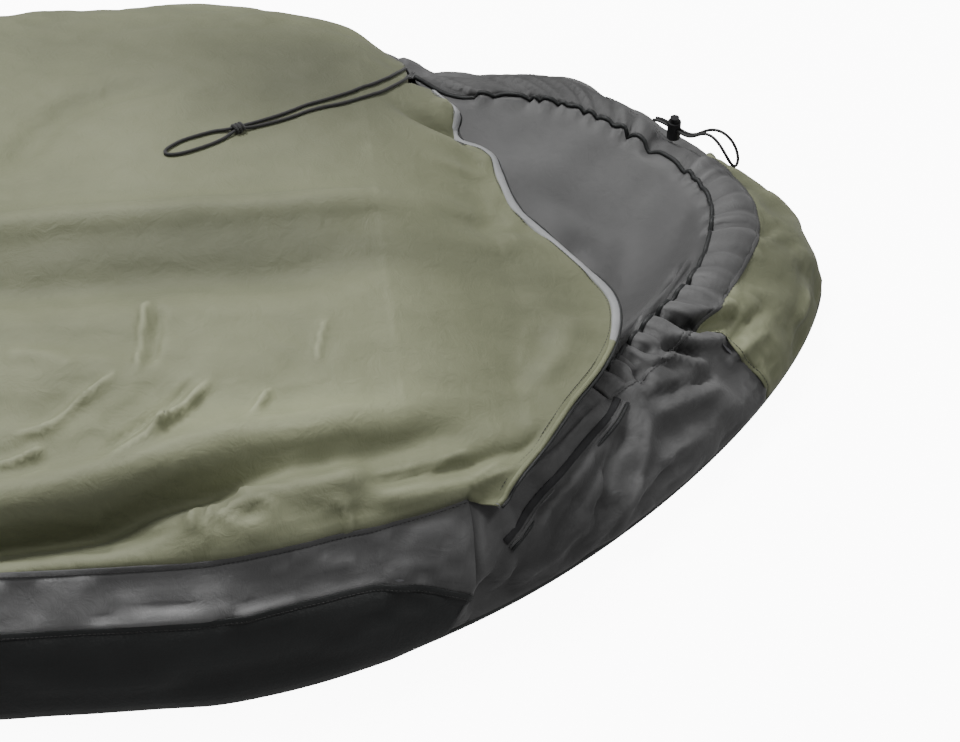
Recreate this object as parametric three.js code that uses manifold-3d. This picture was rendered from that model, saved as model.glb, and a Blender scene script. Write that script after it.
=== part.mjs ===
// A waterproof bivy sack, laid out lofted with its head end towards +X. Millimetres, +Z up, the
// origin under the middle of the floor. Left is the sleeper's left, -Y, the side that it opens on.
import * as THREE from "three";
import { mergeVertices } from "three/addons/utils/BufferGeometryUtils.js";
import Module from "manifold-3d";

const wasm = await Module();
wasm.setup();

// Plan of the sack.
const HEAD_X = 1110;
const FOOT_X = -1110;
const SHOULDER_X = 520; // the widest station
const SHOULDER_HALF = 418;
const FOOT_HALF = 300;
const FOOT_CORNER = 150; // length of the rounded foot corners
const FOOT_ROUND = 0.55; // below 1 makes the foot end squarer than a half circle
const NECK_X = 738; // the hood starts here

// Cloth and seams.
const CLOTH = 1.6;
const FLOOR_INSET = 18; // from the widest outline to the edge of the flat floor
const SEAM = 0.012; // space left at a seam between panels that run on, as a share of the section
const FOLD_SEAM = 0.035; // the same where panels meet at an angle
const TAPE = { thick: 0.5, depth: 4.6 }; // thickness, and depth below the cloth's outer face
const TAPE_BELOW = 0.04; // how far a seam tape reaches to both sides of its seam, as a share of the section
const TAPE_ABOVE = 0.035;
const TOUCH = 0.4; // clearance between pieces that lie on each other

// The side wall's section, as inset from the outline and height: floor edge, bulge, tub seam, top seam.
const SIDE_SECTION = [[14, 0.8], [3, 12], [0, 36], [12, 85], [45, 130]];
const TUB_SEAM = 0.8; // where the tub wall ends and the gusset starts, as a share of the section
const TUB_LOW = 0.2; // the share that the seam sinks towards between the stations of TUB_DROP
const TUB_DROP = [640, 885];
const TOP_TAPE = [0.87, 0.93]; // the tape of the top seam, as shares of the section

// Height of the top panel's crest, of the side walls as a share of the section's height, and how far
// the right edge is pulled in, all as [station, value].
const CREST = [
  [-1100, 150], [-930, 176], [-500, 190], [200, 202], [520, 200], [640, 194], [700, 186],
  [738, 174], [790, 146], [890, 119],
];
const WALL_SHARE = [[-1100, 0.82], [-800, 0.9], [0, 1], [600, 1], [738, 0.86]];
const RIGHT_PULL = [[0, 0], [520, 12], [690, 30], [738, 58]];
const PULL_FROM = 0.6; // the pull grows from this share of the section up to the top seam
const FOOT_RISE = 190; // length over which the top panel climbs from the foot seam

// Hood. Its hem is the floor's turned-up edge. Places along it run from 0 at the left neck by 0.5 at
// the head to 1 at the right neck, and from 0 at the hem to 1 at the rim of the face opening.
const HEM_SECTION = [[15, 0.8], [8, 3], [2, 8], [0, 16]];
const HEM_TOP = 16;
const CROWN_FROM = 0.34;
const CROWN_TO = 0.66;
const COLLAR_FROM = 0.2;
const COLLAR_TO = 0.985;
const COLLAR_SEAM = 0.78;
const COLLAR_EDGE = 0.92;
const COLLAR_TAPER = [0.17, 0.3]; // the collar widens from its near end between these places
const HOOD_FOOT = 0.03; // the hood's panels start this far above the hem
const HOOD_GAP = 0.004; // left at each side of the crown's seams
// The rim at equal steps along the hood. The hood is slumped towards the right.
const RIM = [
  [744, -304, 98], [800, -252, 97], [858, -186, 96], [910, -124, 96], [965, -65, 96], [995, 0, 92],
  [999, 58, 90], [965, 120, 92], [905, 174, 92], [825, 212, 95], [744, 238, 103],
];
const CHANNEL_OUTER = 3.6;
const CHANNEL_INNER = 2.2;
const CORD_R = 1.5;

// Entry flap: the front end of the top, which folds back about a line across the sack.
const FLAP_LEFT_Y = -330;
const FLAP_RIGHT_Y = 166;
const FLAP_GAP = 1.2; // between the top panel and the flap
const FLAP_EDGE = [
  [762, -322], [805, -274], [833, -234], [863, -191], [884, -145], [886, -98], [850, -45],
  [820, -5], [811, 30], [806, 70], [798, 106], [762, 160],
];
const HEM_OUTER = 3.4;
const HEM_INNER = 2;

// Hook-and-loop closure of the side slit: loops under the flap's left edge, hooks on the hood.
const CLOSURE_THICK = 1.2;
const LOOP_ACROSS = [0.03, 0.3]; // place on the flap, from its left edge
const LOOP_ALONG = [0.45, 0.75];
const HOOK_ALONG = [0.02, 0.15]; // place on the hood
const HOOK_UP = [0.62, 0.8];

// Long tail of the drawcord, which lies doubled on the top panel and ends in a knot and a loop.
const TAIL = [[744, 208], [737, 185], [725, 160], [700, 133], [662, 107], [622, 86], [592, 72]];
const TAIL_APART = 2.6; // each strand's distance from the middle of the pair
const TAIL_SPREAD = 6; // the same at the widest
const TAIL_LIFT = 1.6; // clearance under the cord
const KNOT = [579, 66];
const KNOT_R = 5.5;
const KNOT_SQUASH = [1.3, 1, 0.8]; // along the tail, across and up
const LOOP_START = 8.6; // from the knot's middle
const LOOP_LENGTH = 62;
const LOOP_HALF = 8.5;
const LOOP_DRIFT = 0.25; // sideways drift at each step round the loop

// Cord lock at the far side of the rim, and the loop of elastic cord that springs out of it.
const LOCK_AT = 0.7; // place along the hood
const LOCK_OUT = 28; // from the rim to the barrel's axis
const LOCK_Z = 104;
const LOCK_R = 6.5;
const LOCK_BELOW = 11.5; // of the barrel, under the cord's line
const LOCK_ABOVE = 7;
const LOCK_WALL = 1.6;
const LOCK_SLOT = 7.6; // width of the cross slot that two strands pass through
const CORD_SPACE = 2; // half the slot's height
const RUNNING = 0.3; // radial play of the plunger
const PLUNGER_R = 4.4;
const PLUNGER_FOOT = 1.6; // solid end below the plunger's slot
const PLUNGER_OUT = 5; // how far it stands out at rest
const PLUNGER_TRAVEL = 3.2;
const SPRING_R = 3.2;
const SPRING_WIRE = 0.35;
const SPRING_TURNS = 3;
// The cord's way from the collar through the lock to the tip of its bight, forwards and up.
const LOCK_LOOP = [
  [-24, -3], [-16, 0], [0, 0], [17, 0], [27, 6], [39, 17], [52, 21], [65, 15], [74, 3], [77, -5],
];
const LOCK_STRAND = [2, 2, 2, 2, 2.4, 4, 6, 7.5, 6, 0]; // each strand's distance from the loop's middle

const LOOKS = {
  olive: { color: 0x8c9172, roughness: 0.75 },
  grey: { color: 0x5b5b5d, roughness: 0.7 },
  black: { color: 0x232426, roughness: 0.65 },
  lining: { color: 0x9a9c98, roughness: 0.55 },
  tape: { color: 0x6f7073, roughness: 0.5 },
  cord: { color: 0x121312, roughness: 0.8 },
  plastic: { color: 0x18191a, roughness: 0.45 },
  steel: { color: 0x3c3d3e, roughness: 0.35, metalness: 0.9 },
  fastener: { color: 0x2a2b2c, roughness: 0.95 },
};

const sack = new THREE.Group();
const { lerp, smoothstep, clamp } = THREE.MathUtils;
const INSIDE = new THREE.Vector3(0, 0, 60); // a point that every panel of the sack has on its inner side

function add(name, geometry, look, parent = sack) {
  const mesh = new THREE.Mesh(geometry, new THREE.MeshStandardMaterial({ metalness: 0, ...LOOKS[look] }));
  mesh.name = name;
  parent.add(mesh);
  return mesh;
}

// The value between [station, value] knots.
function along(knots, x) {
  if (x <= knots[0][0]) return knots[0][1];
  const i = knots.findIndex(([station]) => x <= station);
  if (i < 0) return knots.at(-1)[1];
  const [[x0, v0], [x1, v1]] = [knots[i - 1], knots[i]];
  const straight = (x - x0) / (x1 - x0);
  return lerp(v0, v1, (straight + smoothstep(x, x0, x1)) / 2);
}

const curveThrough = (points) =>
  new THREE.CatmullRomCurve3(points.map((p) => new THREE.Vector3(...p)), false, "centripetal");

// The outline at the widest height: half its width, the foot end, and the hood.
function halfWidth(x) {
  if (x >= SHOULDER_X) {
    const t = Math.min(1, (x - SHOULDER_X) / (HEAD_X - SHOULDER_X));
    return SHOULDER_HALF * (1 - t ** 1.7) ** 0.74;
  }
  const t = (SHOULDER_X - x) / (SHOULDER_X - FOOT_X);
  return lerp(SHOULDER_HALF, FOOT_HALF, 0.5 * t + 0.5 * t * t);
}

const CORNER_X = FOOT_X + FOOT_CORNER;

function footOutline(share) {
  const angle = Math.PI * (clamp(share, 0, 1) - 0.5);
  const round = (v) => Math.sign(v) * Math.abs(v) ** FOOT_ROUND;
  return new THREE.Vector2(
    CORNER_X - FOOT_CORNER * round(Math.cos(angle)),
    halfWidth(CORNER_X) * round(Math.sin(angle)),
  );
}

const headSide = [];
const headSteps = 24;
for (let i = 0; i <= headSteps; i++) {
  const x = HEAD_X - (HEAD_X - NECK_X) * (1 - i / headSteps) ** 2;
  headSide.push(new THREE.Vector3(x, -halfWidth(x), 0));
}
const mirrored = headSide.slice(0, -1).reverse().map((p) => new THREE.Vector3(p.x, -p.y, 0));
const headOutline = new THREE.CatmullRomCurve3([...headSide, ...mirrored]);
headOutline.arcLengthDivisions = 800;

const spline = (points) => new THREE.SplineCurve(points.map((p) => new THREE.Vector2(...p)));
const sideSection = spline(SIDE_SECTION);
const hemSection = spline(HEM_SECTION);
const rim = new THREE.CatmullRomCurve3(RIM.map((p) => new THREE.Vector3(...p)));
const flapEdge = new THREE.SplineCurve(FLAP_EDGE.map((p) => new THREE.Vector2(...p)));

// Outer faces of the panels, each as a function of two numbers.
const sideFace = (side) => (x, k) => {
  const { x: inset, y: z } = sideSection.getPoint(k);
  const pull = side > 0 ? along(RIGHT_PULL, x) * smoothstep(k, PULL_FROM, 1) : 0;
  return new THREE.Vector3(x, side * (halfWidth(x) - inset - pull), z * along(WALL_SHARE, x));
};

function footFace(share, k) {
  const { x: inset, y: z } = sideSection.getPoint(k);
  const at = footOutline(share);
  const way = footOutline(share + 1e-3).sub(footOutline(share - 1e-3)).normalize();
  return new THREE.Vector3(at.x + way.y * inset, at.y - way.x * inset, z * along(WALL_SHARE, at.x));
}

const tubSeam = (x) => lerp(TUB_SEAM, TUB_LOW, smoothstep(x, ...TUB_DROP));
const topEdge = (side, x) => sideFace(side)(clamp(x, CORNER_X, NECK_X), 1);

// Height of the top: a boxy vault between the two top seams.
function topHeight(x, y) {
  const [left, right] = [topEdge(-1, x), topEdge(1, x)];
  const v = clamp((2 * y - left.y - right.y) / (right.y - left.y), -1, 1);
  const crest = Math.max(left.z, along(CREST, x));
  return left.z + (crest - left.z) * (1 - Math.abs(v) ** 2.6) ** 0.62;
}

function topFace(u, v) {
  const foot = footFace(v, 1);
  const x = lerp(foot.x, NECK_X - FLAP_GAP, u);
  const across = (station) => lerp(topEdge(-1, station).y, topEdge(1, station).y, v);
  const y = across(x) + (foot.y - across(CORNER_X)) * (1 - smoothstep(x, foot.x, foot.x + FOOT_RISE));
  const climb = 1 - (1 - clamp((x - foot.x) / FOOT_RISE, 0, 1)) ** 2.4;
  return new THREE.Vector3(x, y, lerp(foot.z, topHeight(x, y), climb ** 0.62));
}

// The flap, whose front edge stops short of the middle of the hem by `short`.
const flapFace = (short) => (u, v) => {
  const way = flapEdge.getTangent(v);
  const edge = flapEdge.getPoint(v).add(new THREE.Vector2(-way.y, way.x).multiplyScalar(short));
  const x = lerp(NECK_X + FLAP_GAP, edge.x, u);
  const y = lerp(lerp(FLAP_LEFT_Y, FLAP_RIGHT_Y, v), edge.y, u);
  return new THREE.Vector3(x, y, topHeight(x, y));
};

function hoodFace(s, t) {
  const ground = headOutline.getPointAt(clamp(s, 0, 1));
  const top = rim.getPoint(clamp(s, 0, 1));
  const fullness = 1.7 + 1.3 * smoothstep(s, 0.4, 0.7) - 1.5 * smoothstep(s, 0.8, 1);
  return new THREE.Vector3(
    lerp(ground.x, top.x, t ** fullness),
    lerp(ground.y, top.y, t ** fullness),
    lerp(HEM_TOP, top.z, 1 - (1 - t) ** 1.5),
  );
}

// A point of the hood's outline moved inwards. At the necks it moves straight across, as the body does.
function headInset(place, inset) {
  const s = clamp(place, 0, 1);
  const at = headOutline.getPointAt(s);
  const way = headOutline.getTangentAt(s);
  const fromNeck = smoothstep(Math.min(s, 1 - s), 0, 0.08);
  const inward = new THREE.Vector2(-way.y, way.x).multiplyScalar(fromNeck);
  inward.y += (1 - fromNeck) * (s < 0.5 ? 1 : -1);
  return new THREE.Vector2(at.x, at.y).addScaledVector(inward.normalize(), inset);
}

function hemFace(s, k) {
  const { x: inset, y: z } = hemSection.getPoint(k);
  const at = headInset(s, inset);
  return new THREE.Vector3(at.x, at.y, z);
}

const collarSeam = (s) => lerp(COLLAR_EDGE - 0.04, COLLAR_SEAM, smoothstep(s, ...COLLAR_TAPER));

// A face restricted to part of its range. The bounds may depend on the first number.
const within = (face, [a, b], low, high) => (u, v) => {
  const first = lerp(a, b, u);
  return face(first, lerp(low(first), high(first), v));
};
const always = (value) => () => value;

// Turns a grid of points on two layers into a closed shell.
function shellIndex(rows, columns) {
  const index = [];
  const count = rows * columns;
  const quad = (a, b, c, d) => index.push(a, b, c, a, c, d);
  for (let j = 0; j < rows - 1; j++) {
    for (let i = 0; i < columns - 1; i++) {
      const p = j * columns + i;
      quad(p, p + columns, p + columns + 1, p + 1);
      quad(count + p, count + p + 1, count + p + columns + 1, count + p + columns);
    }
    const p = j * columns;
    const q = p + columns - 1;
    quad(p, count + p, count + p + columns, p + columns);
    quad(q, q + columns, count + q + columns, count + q);
  }
  for (let i = 0; i < columns - 1; i++) {
    const q = (rows - 1) * columns + i;
    quad(i, i + 1, count + i + 1, count + i);
    quad(q, count + q, count + q + 1, q + 1);
  }
  return index;
}

function volume(geometry) {
  const { position } = geometry.attributes;
  const corner = (i) => new THREE.Vector3().fromBufferAttribute(position, geometry.index.getX(i));
  let total = 0;
  for (let i = 0; i < geometry.index.count; i += 3) {
    total += corner(i).dot(corner(i + 1).cross(corner(i + 2)));
  }
  return total / 6;
}

// A panel of even thickness. Its outer face lies `depth` further in than the face that it follows.
function panel(face, rows, columns, { thick = CLOTH, depth = 0, inside = INSIDE } = {}) {
  const normal = (u, v) => {
    const e = 0.01;
    const du = face(Math.min(1, u + e), v).sub(face(Math.max(0, u - e), v));
    const dv = face(u, Math.min(1, v + e)).sub(face(u, Math.max(0, v - e)));
    return du.cross(dv).normalize();
  };
  const sign = Math.sign(normal(0.5, 0.5).dot(inside.clone().sub(face(0.5, 0.5))));
  const positions = [];
  for (const layer of [depth, depth + thick]) {
    for (let j = 0; j <= rows; j++) {
      for (let i = 0; i <= columns; i++) {
        const [u, v] = [j / rows, i / columns];
        positions.push(...face(u, v).addScaledVector(normal(u, v), sign * layer).toArray());
      }
    }
  }
  const geometry = new THREE.BufferGeometry();
  geometry.setAttribute("position", new THREE.Float32BufferAttribute(positions, 3));
  geometry.setIndex(shellIndex(rows + 1, columns + 1));
  if (volume(geometry) < 0) geometry.setIndex(Array.from(geometry.index.array).reverse());
  return geometry;
}

// A rod or tube along a curve.
function run(curve, steps, outer, inner = 0) {
  const shape = new THREE.Shape().absarc(0, 0, outer, 0, 2 * Math.PI);
  if (inner) shape.holes.push(new THREE.Path().absarc(0, 0, inner, 0, 2 * Math.PI, true));
  return new THREE.ExtrudeGeometry(shape, { steps, extrudePath: curve, curveSegments: 4 });
}

// The part of a curve between two of its places.
function stretch(curve, from, to) {
  const points = [];
  for (let i = 0; i <= 60; i++) points.push(curve(lerp(from, to, i / 60)));
  return new THREE.CatmullRomCurve3(points);
}

function solid(geometry) {
  const bare = geometry.clone();
  bare.deleteAttribute("normal");
  bare.deleteAttribute("uv");
  const merged = mergeVertices(bare, 1e-4);
  return new wasm.Manifold(new wasm.Mesh({
    numProp: 3,
    vertProperties: merged.attributes.position.array,
    triVerts: new Uint32Array(merged.index.array),
  }));
}

function geometryOf(manifold) {
  const { vertProperties, triVerts } = manifold.getMesh();
  const geometry = new THREE.BufferGeometry();
  geometry.setAttribute("position", new THREE.BufferAttribute(vertProperties, 3));
  geometry.setIndex(new THREE.BufferAttribute(triVerts, 1));
  return geometry;
}

// Floor: one flat sheet from foot to head.
function floorPanel() {
  const outline = [];
  const steps = 22;
  for (let i = 0; i < steps; i++) {
    const x = lerp(CORNER_X, NECK_X, i / steps);
    outline.push([x, -(halfWidth(x) - FLOOR_INSET)]);
  }
  for (let i = 0; i <= 2 * steps; i++) outline.push(headInset(i / (2 * steps), FLOOR_INSET).toArray());
  for (let i = steps - 1; i >= 0; i--) {
    const x = lerp(CORNER_X, NECK_X, i / steps);
    outline.push([x, halfWidth(x) - FLOOR_INSET]);
  }
  for (let i = steps - 1; i > 0; i--) {
    const at = footOutline(i / steps);
    const way = footOutline(i / steps + 1e-3).sub(footOutline(i / steps - 1e-3)).normalize();
    outline.push([at.x + way.y * FLOOR_INSET, at.y - way.x * FLOOR_INSET]);
  }
  const shape = new THREE.Shape(outline.map((p) => new THREE.Vector2(...p)));
  return new THREE.ExtrudeGeometry(shape, { depth: CLOTH, bevelEnabled: false });
}

add("floor_panel", floorPanel(), "black");

// Side walls: a black tub wall with a grey gusset above it, on each side and round the foot.
const BODY = [CORNER_X, NECK_X - 1];
for (const [name, side] of [["left", -1], ["right", 1]]) {
  const tub = within(sideFace(side), BODY, always(0), (x) => tubSeam(x) - SEAM);
  const gusset = within(sideFace(side), BODY, (x) => tubSeam(x) + SEAM, always(1 - FOLD_SEAM));
  const seam = within(sideFace(side), BODY, (x) => tubSeam(x) - TAPE_BELOW, (x) => tubSeam(x) + TAPE_ABOVE);
  const upper = within(sideFace(side), BODY, always(TOP_TAPE[0]), always(TOP_TAPE[1]));
  add(`tub_wall_${name}`, panel(tub, 22, 4), "black");
  add(`side_gusset_${name}`, panel(gusset, 22, 3), "grey");
  add(`tub_seam_tape_${name}`, panel(seam, 22, 1, TAPE), "tape");
  add(`top_seam_tape_${name}`, panel(upper, 22, 1, TAPE), "tape");
}
const FOOT = [0.004, 0.996];
const footBand = (low, high) => within(footFace, FOOT, always(low), always(high));
add("tub_wall_foot", panel(footBand(0, TUB_SEAM - SEAM), 22, 4), "black");
add("foot_gusset", panel(footBand(TUB_SEAM + SEAM, 1 - FOLD_SEAM), 22, 3), "grey");
add("foot_seam_tape", panel(footBand(TUB_SEAM - TAPE_BELOW, TUB_SEAM + TAPE_ABOVE), 22, 1, TAPE), "tape");

// Top: the long panel up to the fold line, and the entry flap in front of it.
add("top_panel", panel(topFace, 20, 12), "olive");
const flap = new THREE.Group();
sack.add(flap);
add("entry_flap", panel(flapFace(HEM_OUTER + 1.2), 7, 18), "olive", flap);
const hemLine = (v) => {
  const at = flapFace(0)(1, v);
  return at.setZ(at.z - CLOTH / 2);
};
add("flap_hem", run(stretch(hemLine, 0.01, 0.99), 26, HEM_OUTER, HEM_INNER), "lining", flap);
add("flap_drawcord", run(stretch(hemLine, 0.012, 0.988), 26, CORD_R), "cord", flap);
const loopSide = within(flapFace(0), LOOP_ALONG, always(LOOP_ACROSS[0]), always(LOOP_ACROSS[1]));
const loopStrip = panel(loopSide, 3, 8, { thick: CLOSURE_THICK, depth: CLOTH + 2 });
add("closure_loop_strip", loopStrip, "fastener", flap);

// Hood: hem, two side panels, crown and the gathered collar.
add("hood_hem", panel(within(hemFace, [0.001, 0.999], always(0), always(1)), 44, 2), "black");
const hoodPanels = [
  ["hood_side_left", HOOD_GAP / 2, CROWN_FROM - HOOD_GAP, "grey"],
  ["hood_crown", CROWN_FROM + HOOD_GAP, CROWN_TO - HOOD_GAP, "olive"],
  ["hood_side_right", CROWN_TO + HOOD_GAP, 1 - HOOD_GAP / 2, "grey"],
];
for (const [name, from, to, look] of hoodPanels) {
  const face = within(hoodFace, [from, to], always(HOOD_FOOT), (s) => collarSeam(s) - SEAM);
  add(name, panel(face, 12, 5), look);
}
for (const [name, s] of [["left", CROWN_FROM], ["right", CROWN_TO]]) {
  const width = [s - 3 * HOOD_GAP, s + 3 * HOOD_GAP];
  const face = within(hoodFace, width, always(0.08), always(COLLAR_SEAM - 0.05));
  add(`crown_seam_tape_${name}`, panel(face, 1, 5, TAPE), "tape");
}
const collar = within(hoodFace, [COLLAR_FROM, COLLAR_TO], (s) => collarSeam(s) + SEAM, always(COLLAR_EDGE));
add("hood_collar", panel(collar, 36, 3), "grey");
const rimLine = (s) => rim.getPoint(s);
const channelLine = stretch(rimLine, COLLAR_FROM, COLLAR_TO);
add("collar_cord_channel", run(channelLine, 36, CHANNEL_OUTER, CHANNEL_INNER), "black");
add("collar_drawcord", run(stretch(rimLine, COLLAR_FROM + 0.002, COLLAR_TO - 0.002), 36, CORD_R), "cord");
const hookSide = within(hoodFace, HOOK_ALONG, always(HOOK_UP[0]), always(HOOK_UP[1]));
const hookStrip = panel(hookSide, 6, 2, { thick: CLOSURE_THICK, depth: -CLOSURE_THICK - 1 });
add("closure_hook_strip", hookStrip, "fastener");

// Long tail of the drawcord: two strands side by side, a knot, and the loop behind it.
const onTop = (x, y) => new THREE.Vector3(x, y, topHeight(x, y) + CORD_R + TAIL_LIFT);
const tailMiddle = new THREE.SplineCurve(TAIL.map((p) => new THREE.Vector2(...p)));
for (const [name, side] of [["front", 1], ["back", -1]]) {
  const points = [];
  for (let i = 0; i <= 14; i++) {
    const at = tailMiddle.getPoint(i / 14);
    const way = tailMiddle.getTangent(i / 14);
    const apart = side * (TAIL_APART + (TAIL_SPREAD - TAIL_APART) * Math.sin((Math.PI * i) / 14));
    points.push(onTop(at.x - way.y * apart, at.y + way.x * apart));
  }
  add(`drawcord_tail_${name}`, run(new THREE.CatmullRomCurve3(points), 28, CORD_R), "cord");
}
const tailWay = new THREE.Vector2(...KNOT).sub(new THREE.Vector2(...TAIL.at(-2))).normalize();
const knot = new THREE.SphereGeometry(KNOT_R, 12, 8);
knot.scale(...KNOT_SQUASH);
knot.rotateZ(Math.atan2(tailWay.y, tailWay.x));
const knotAt = onTop(...KNOT);
knot.translate(knotAt.x, knotAt.y, knotAt.z + 1.6);
add("tail_knot", knot, "cord");
// The loop runs out of the knot, round its far end and back, a little to one side of where it left.
const loop = [];
for (let i = 0; i <= 16; i++) {
  const angle = Math.PI * (2 * (i / 16) - 1);
  const ahead = LOOP_START + (LOOP_LENGTH / 2) * (1 + Math.cos(angle));
  const aside = -LOOP_HALF * Math.sin(angle) * Math.abs(Math.cos(angle / 2)) ** 0.2 - LOOP_DRIFT * (i - 8);
  loop.push(onTop(
    KNOT[0] + tailWay.x * ahead - tailWay.y * aside,
    KNOT[1] + tailWay.y * ahead + tailWay.x * aside,
  ));
}
add("tail_loop", run(new THREE.CatmullRomCurve3(loop), 26, CORD_R), "cord");

// Cord lock: a barrel, a sprung plunger in it, and the cord that passes through both.
const lockRim = rim.getPoint(LOCK_AT);
const lockWay = rim.getTangent(LOCK_AT).setZ(0).normalize().negate();
const lockOut = new THREE.Vector3(lockWay.y, -lockWay.x, 0).negate();
const lockAt = lockRim.clone().addScaledVector(lockOut, LOCK_OUT).setZ(LOCK_Z);
const lock = new THREE.Group();
const lockFrame = new THREE.Matrix4().makeBasis(lockWay, lockOut, new THREE.Vector3(0, 0, 1));
lock.applyMatrix4(lockFrame.setPosition(lockAt));
sack.add(lock);

const upright = (radius, from, to, sides = 20) => {
  const cylinder = new THREE.CylinderGeometry(radius, radius, to - from, sides);
  return cylinder.rotateX(Math.PI / 2).translate(0, 0, (from + to) / 2);
};
const crossSlot = (from, to) => {
  const box = new THREE.BoxGeometry(4 * LOCK_R, LOCK_SLOT, to - from);
  return solid(box.translate(0, 0, (from + to) / 2));
};
const boreFloor = -LOCK_BELOW + LOCK_WALL;
const bore = solid(upright(PLUNGER_R + RUNNING, boreFloor, LOCK_ABOVE + 1));
const drum = solid(upright(LOCK_R, -LOCK_BELOW, LOCK_ABOVE)).subtract(bore);
const barrel = drum.subtract(crossSlot(-CORD_SPACE, CORD_SPACE));
add("cord_lock_barrel", geometryOf(barrel), "plastic", lock);
const stem = solid(upright(PLUNGER_R, -CORD_SPACE - PLUNGER_FOOT, LOCK_ABOVE + PLUNGER_OUT));
const plunger = stem.subtract(crossSlot(-CORD_SPACE, CORD_SPACE + PLUNGER_TRAVEL));
add("cord_lock_plunger", geometryOf(plunger), "plastic", lock);
const springFrom = boreFloor + SPRING_WIRE + TOUCH;
const springTo = -CORD_SPACE - PLUNGER_FOOT - SPRING_WIRE - TOUCH;
const coil = [];
for (let i = 0; i <= SPRING_TURNS * 10; i++) {
  const turn = (2 * Math.PI * i) / 10;
  const z = lerp(springFrom, springTo, i / (SPRING_TURNS * 10));
  coil.push(new THREE.Vector3(SPRING_R * Math.cos(turn), SPRING_R * Math.sin(turn), z));
}
const wire = new THREE.Shape().absarc(0, 0, SPRING_WIRE, 0, 2 * Math.PI);
const springPath = new THREE.CatmullRomCurve3(coil);
const springRun = { steps: SPRING_TURNS * 12, extrudePath: springPath, curveSegments: 3 };
const spring = new THREE.ExtrudeGeometry(wire, springRun);
add("cord_lock_spring", spring, "steel", lock);

// The elastic cord: out of the collar, through the lock, round its standing bight and back.
const strand = LOCK_LOOP.map(([out, up], i) => [out, LOCK_STRAND[i], up]);
const back = strand.slice(0, -1).reverse().map(([a, b, c]) => [a, -b, c]);
add("lock_cord_loop", run(curveThrough([...strand, ...back]), 44, CORD_R), "cord", lock);

export default sack;
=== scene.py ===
# The looks of the bivy sack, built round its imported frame. The shapes are worked out in millimetres,
# with the same outlines as the part, and turned into metres when a mesh is made.
import math

import bpy
import numpy as np
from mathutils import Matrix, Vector
from mathutils.bvhtree import BVHTree


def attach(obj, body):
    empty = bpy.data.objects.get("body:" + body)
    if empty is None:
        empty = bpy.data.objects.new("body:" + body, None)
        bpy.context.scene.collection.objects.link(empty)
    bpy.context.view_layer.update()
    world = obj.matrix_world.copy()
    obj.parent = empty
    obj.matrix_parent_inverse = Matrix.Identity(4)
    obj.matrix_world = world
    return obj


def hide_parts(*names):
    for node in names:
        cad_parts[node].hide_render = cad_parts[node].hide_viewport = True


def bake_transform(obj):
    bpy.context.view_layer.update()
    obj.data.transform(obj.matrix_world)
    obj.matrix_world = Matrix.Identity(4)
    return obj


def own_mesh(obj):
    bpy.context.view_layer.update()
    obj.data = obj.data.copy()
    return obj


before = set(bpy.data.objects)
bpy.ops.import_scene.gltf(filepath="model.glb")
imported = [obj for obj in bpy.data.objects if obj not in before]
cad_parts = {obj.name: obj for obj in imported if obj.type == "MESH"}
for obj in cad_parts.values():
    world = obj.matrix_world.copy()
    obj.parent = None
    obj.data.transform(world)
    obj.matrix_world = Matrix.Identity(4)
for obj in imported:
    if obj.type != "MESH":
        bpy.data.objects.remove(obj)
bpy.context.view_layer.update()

MM = 0.001
RNG = np.random.default_rng(11)

# ---------------------------------------------------------------- camera, floor and light
CAMERA_AT = (0.610, -1.466, 1.414)
CAMERA_TO = (0.778, -0.0616, 0.0)
CAMERA_LENS, CAMERA_CLIP = 82.5, (0.05, 50)
LIGHTS = [  # name, place, target, diameter and watts
    ("key", (-0.1, 1.15, 3.0), (0.6, 0, 0.1), 1.3, 120),
    ("fill", (2.4, -0.6, 2.6), (0.7, 0, 0.1), 0.7, 24),
]
SKY_STRENGTH, FLOOR_GLOW, FLOOR_HALF = 0.30, 10.0, 14.0


def add_object(name, data):
    obj = bpy.data.objects.new(name, data)
    bpy.context.scene.collection.objects.link(obj)
    return obj


def aimed(name, data, at, target):
    obj = add_object(name, data)
    obj.location = at
    way = Vector(target) - obj.location
    obj.rotation_euler = way.to_track_quat("-Z", "Y").to_euler()
    return obj


def make_camera():
    data = bpy.data.cameras.new("camera")
    data.lens = CAMERA_LENS
    data.clip_start, data.clip_end = CAMERA_CLIP
    bpy.context.scene.camera = aimed("camera", data, CAMERA_AT, CAMERA_TO)


def make_stage():
    """A white, glowing floor under two soft lights."""
    world = bpy.data.worlds.new("studio")
    world.use_nodes = True
    set_inputs(world.node_tree.nodes["Background"], {"Color": (1, 1, 1, 1), "Strength": SKY_STRENGTH})
    bpy.context.scene.world = world
    mesh = bpy.data.meshes.new("studio_floor")
    corners = [(a * FLOOR_HALF, b * FLOOR_HALF, 0) for a, b in ((-1, -1), (1, -1), (1, 1), (-1, 1))]
    mesh.from_pydata(corners, [], [(0, 1, 2, 3)])
    floor = add_object("studio_floor", mesh)
    mesh.materials.append(plain_floor())
    floor.visible_diffuse = floor.visible_glossy = False
    for name, at, target, size, power in LIGHTS:
        data = bpy.data.lights.new(name, "AREA")
        data.shape, data.size, data.energy = "DISK", size, power
        aimed(name, data, at, target)


# ---------------------------------------------------------------- materials
THREAD_PITCH = 0.0009


def set_inputs(made, values):
    for key, value in values.items():
        made.inputs[key].default_value = value


def new_material(name, **values):
    """A principled material. The values are given with _ for each space in an input's name."""
    material = bpy.data.materials.new(name)
    material.use_nodes = True
    tree = material.node_tree
    tree.nodes.clear()
    shader = tree.nodes.new("ShaderNodeBsdfPrincipled")
    out = tree.nodes.new("ShaderNodeOutputMaterial")
    tree.links.new(shader.outputs["BSDF"], out.inputs["Surface"])
    set_inputs(shader, {key.replace("_", " "): value for key, value in values.items()})
    return material, tree, shader


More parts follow.
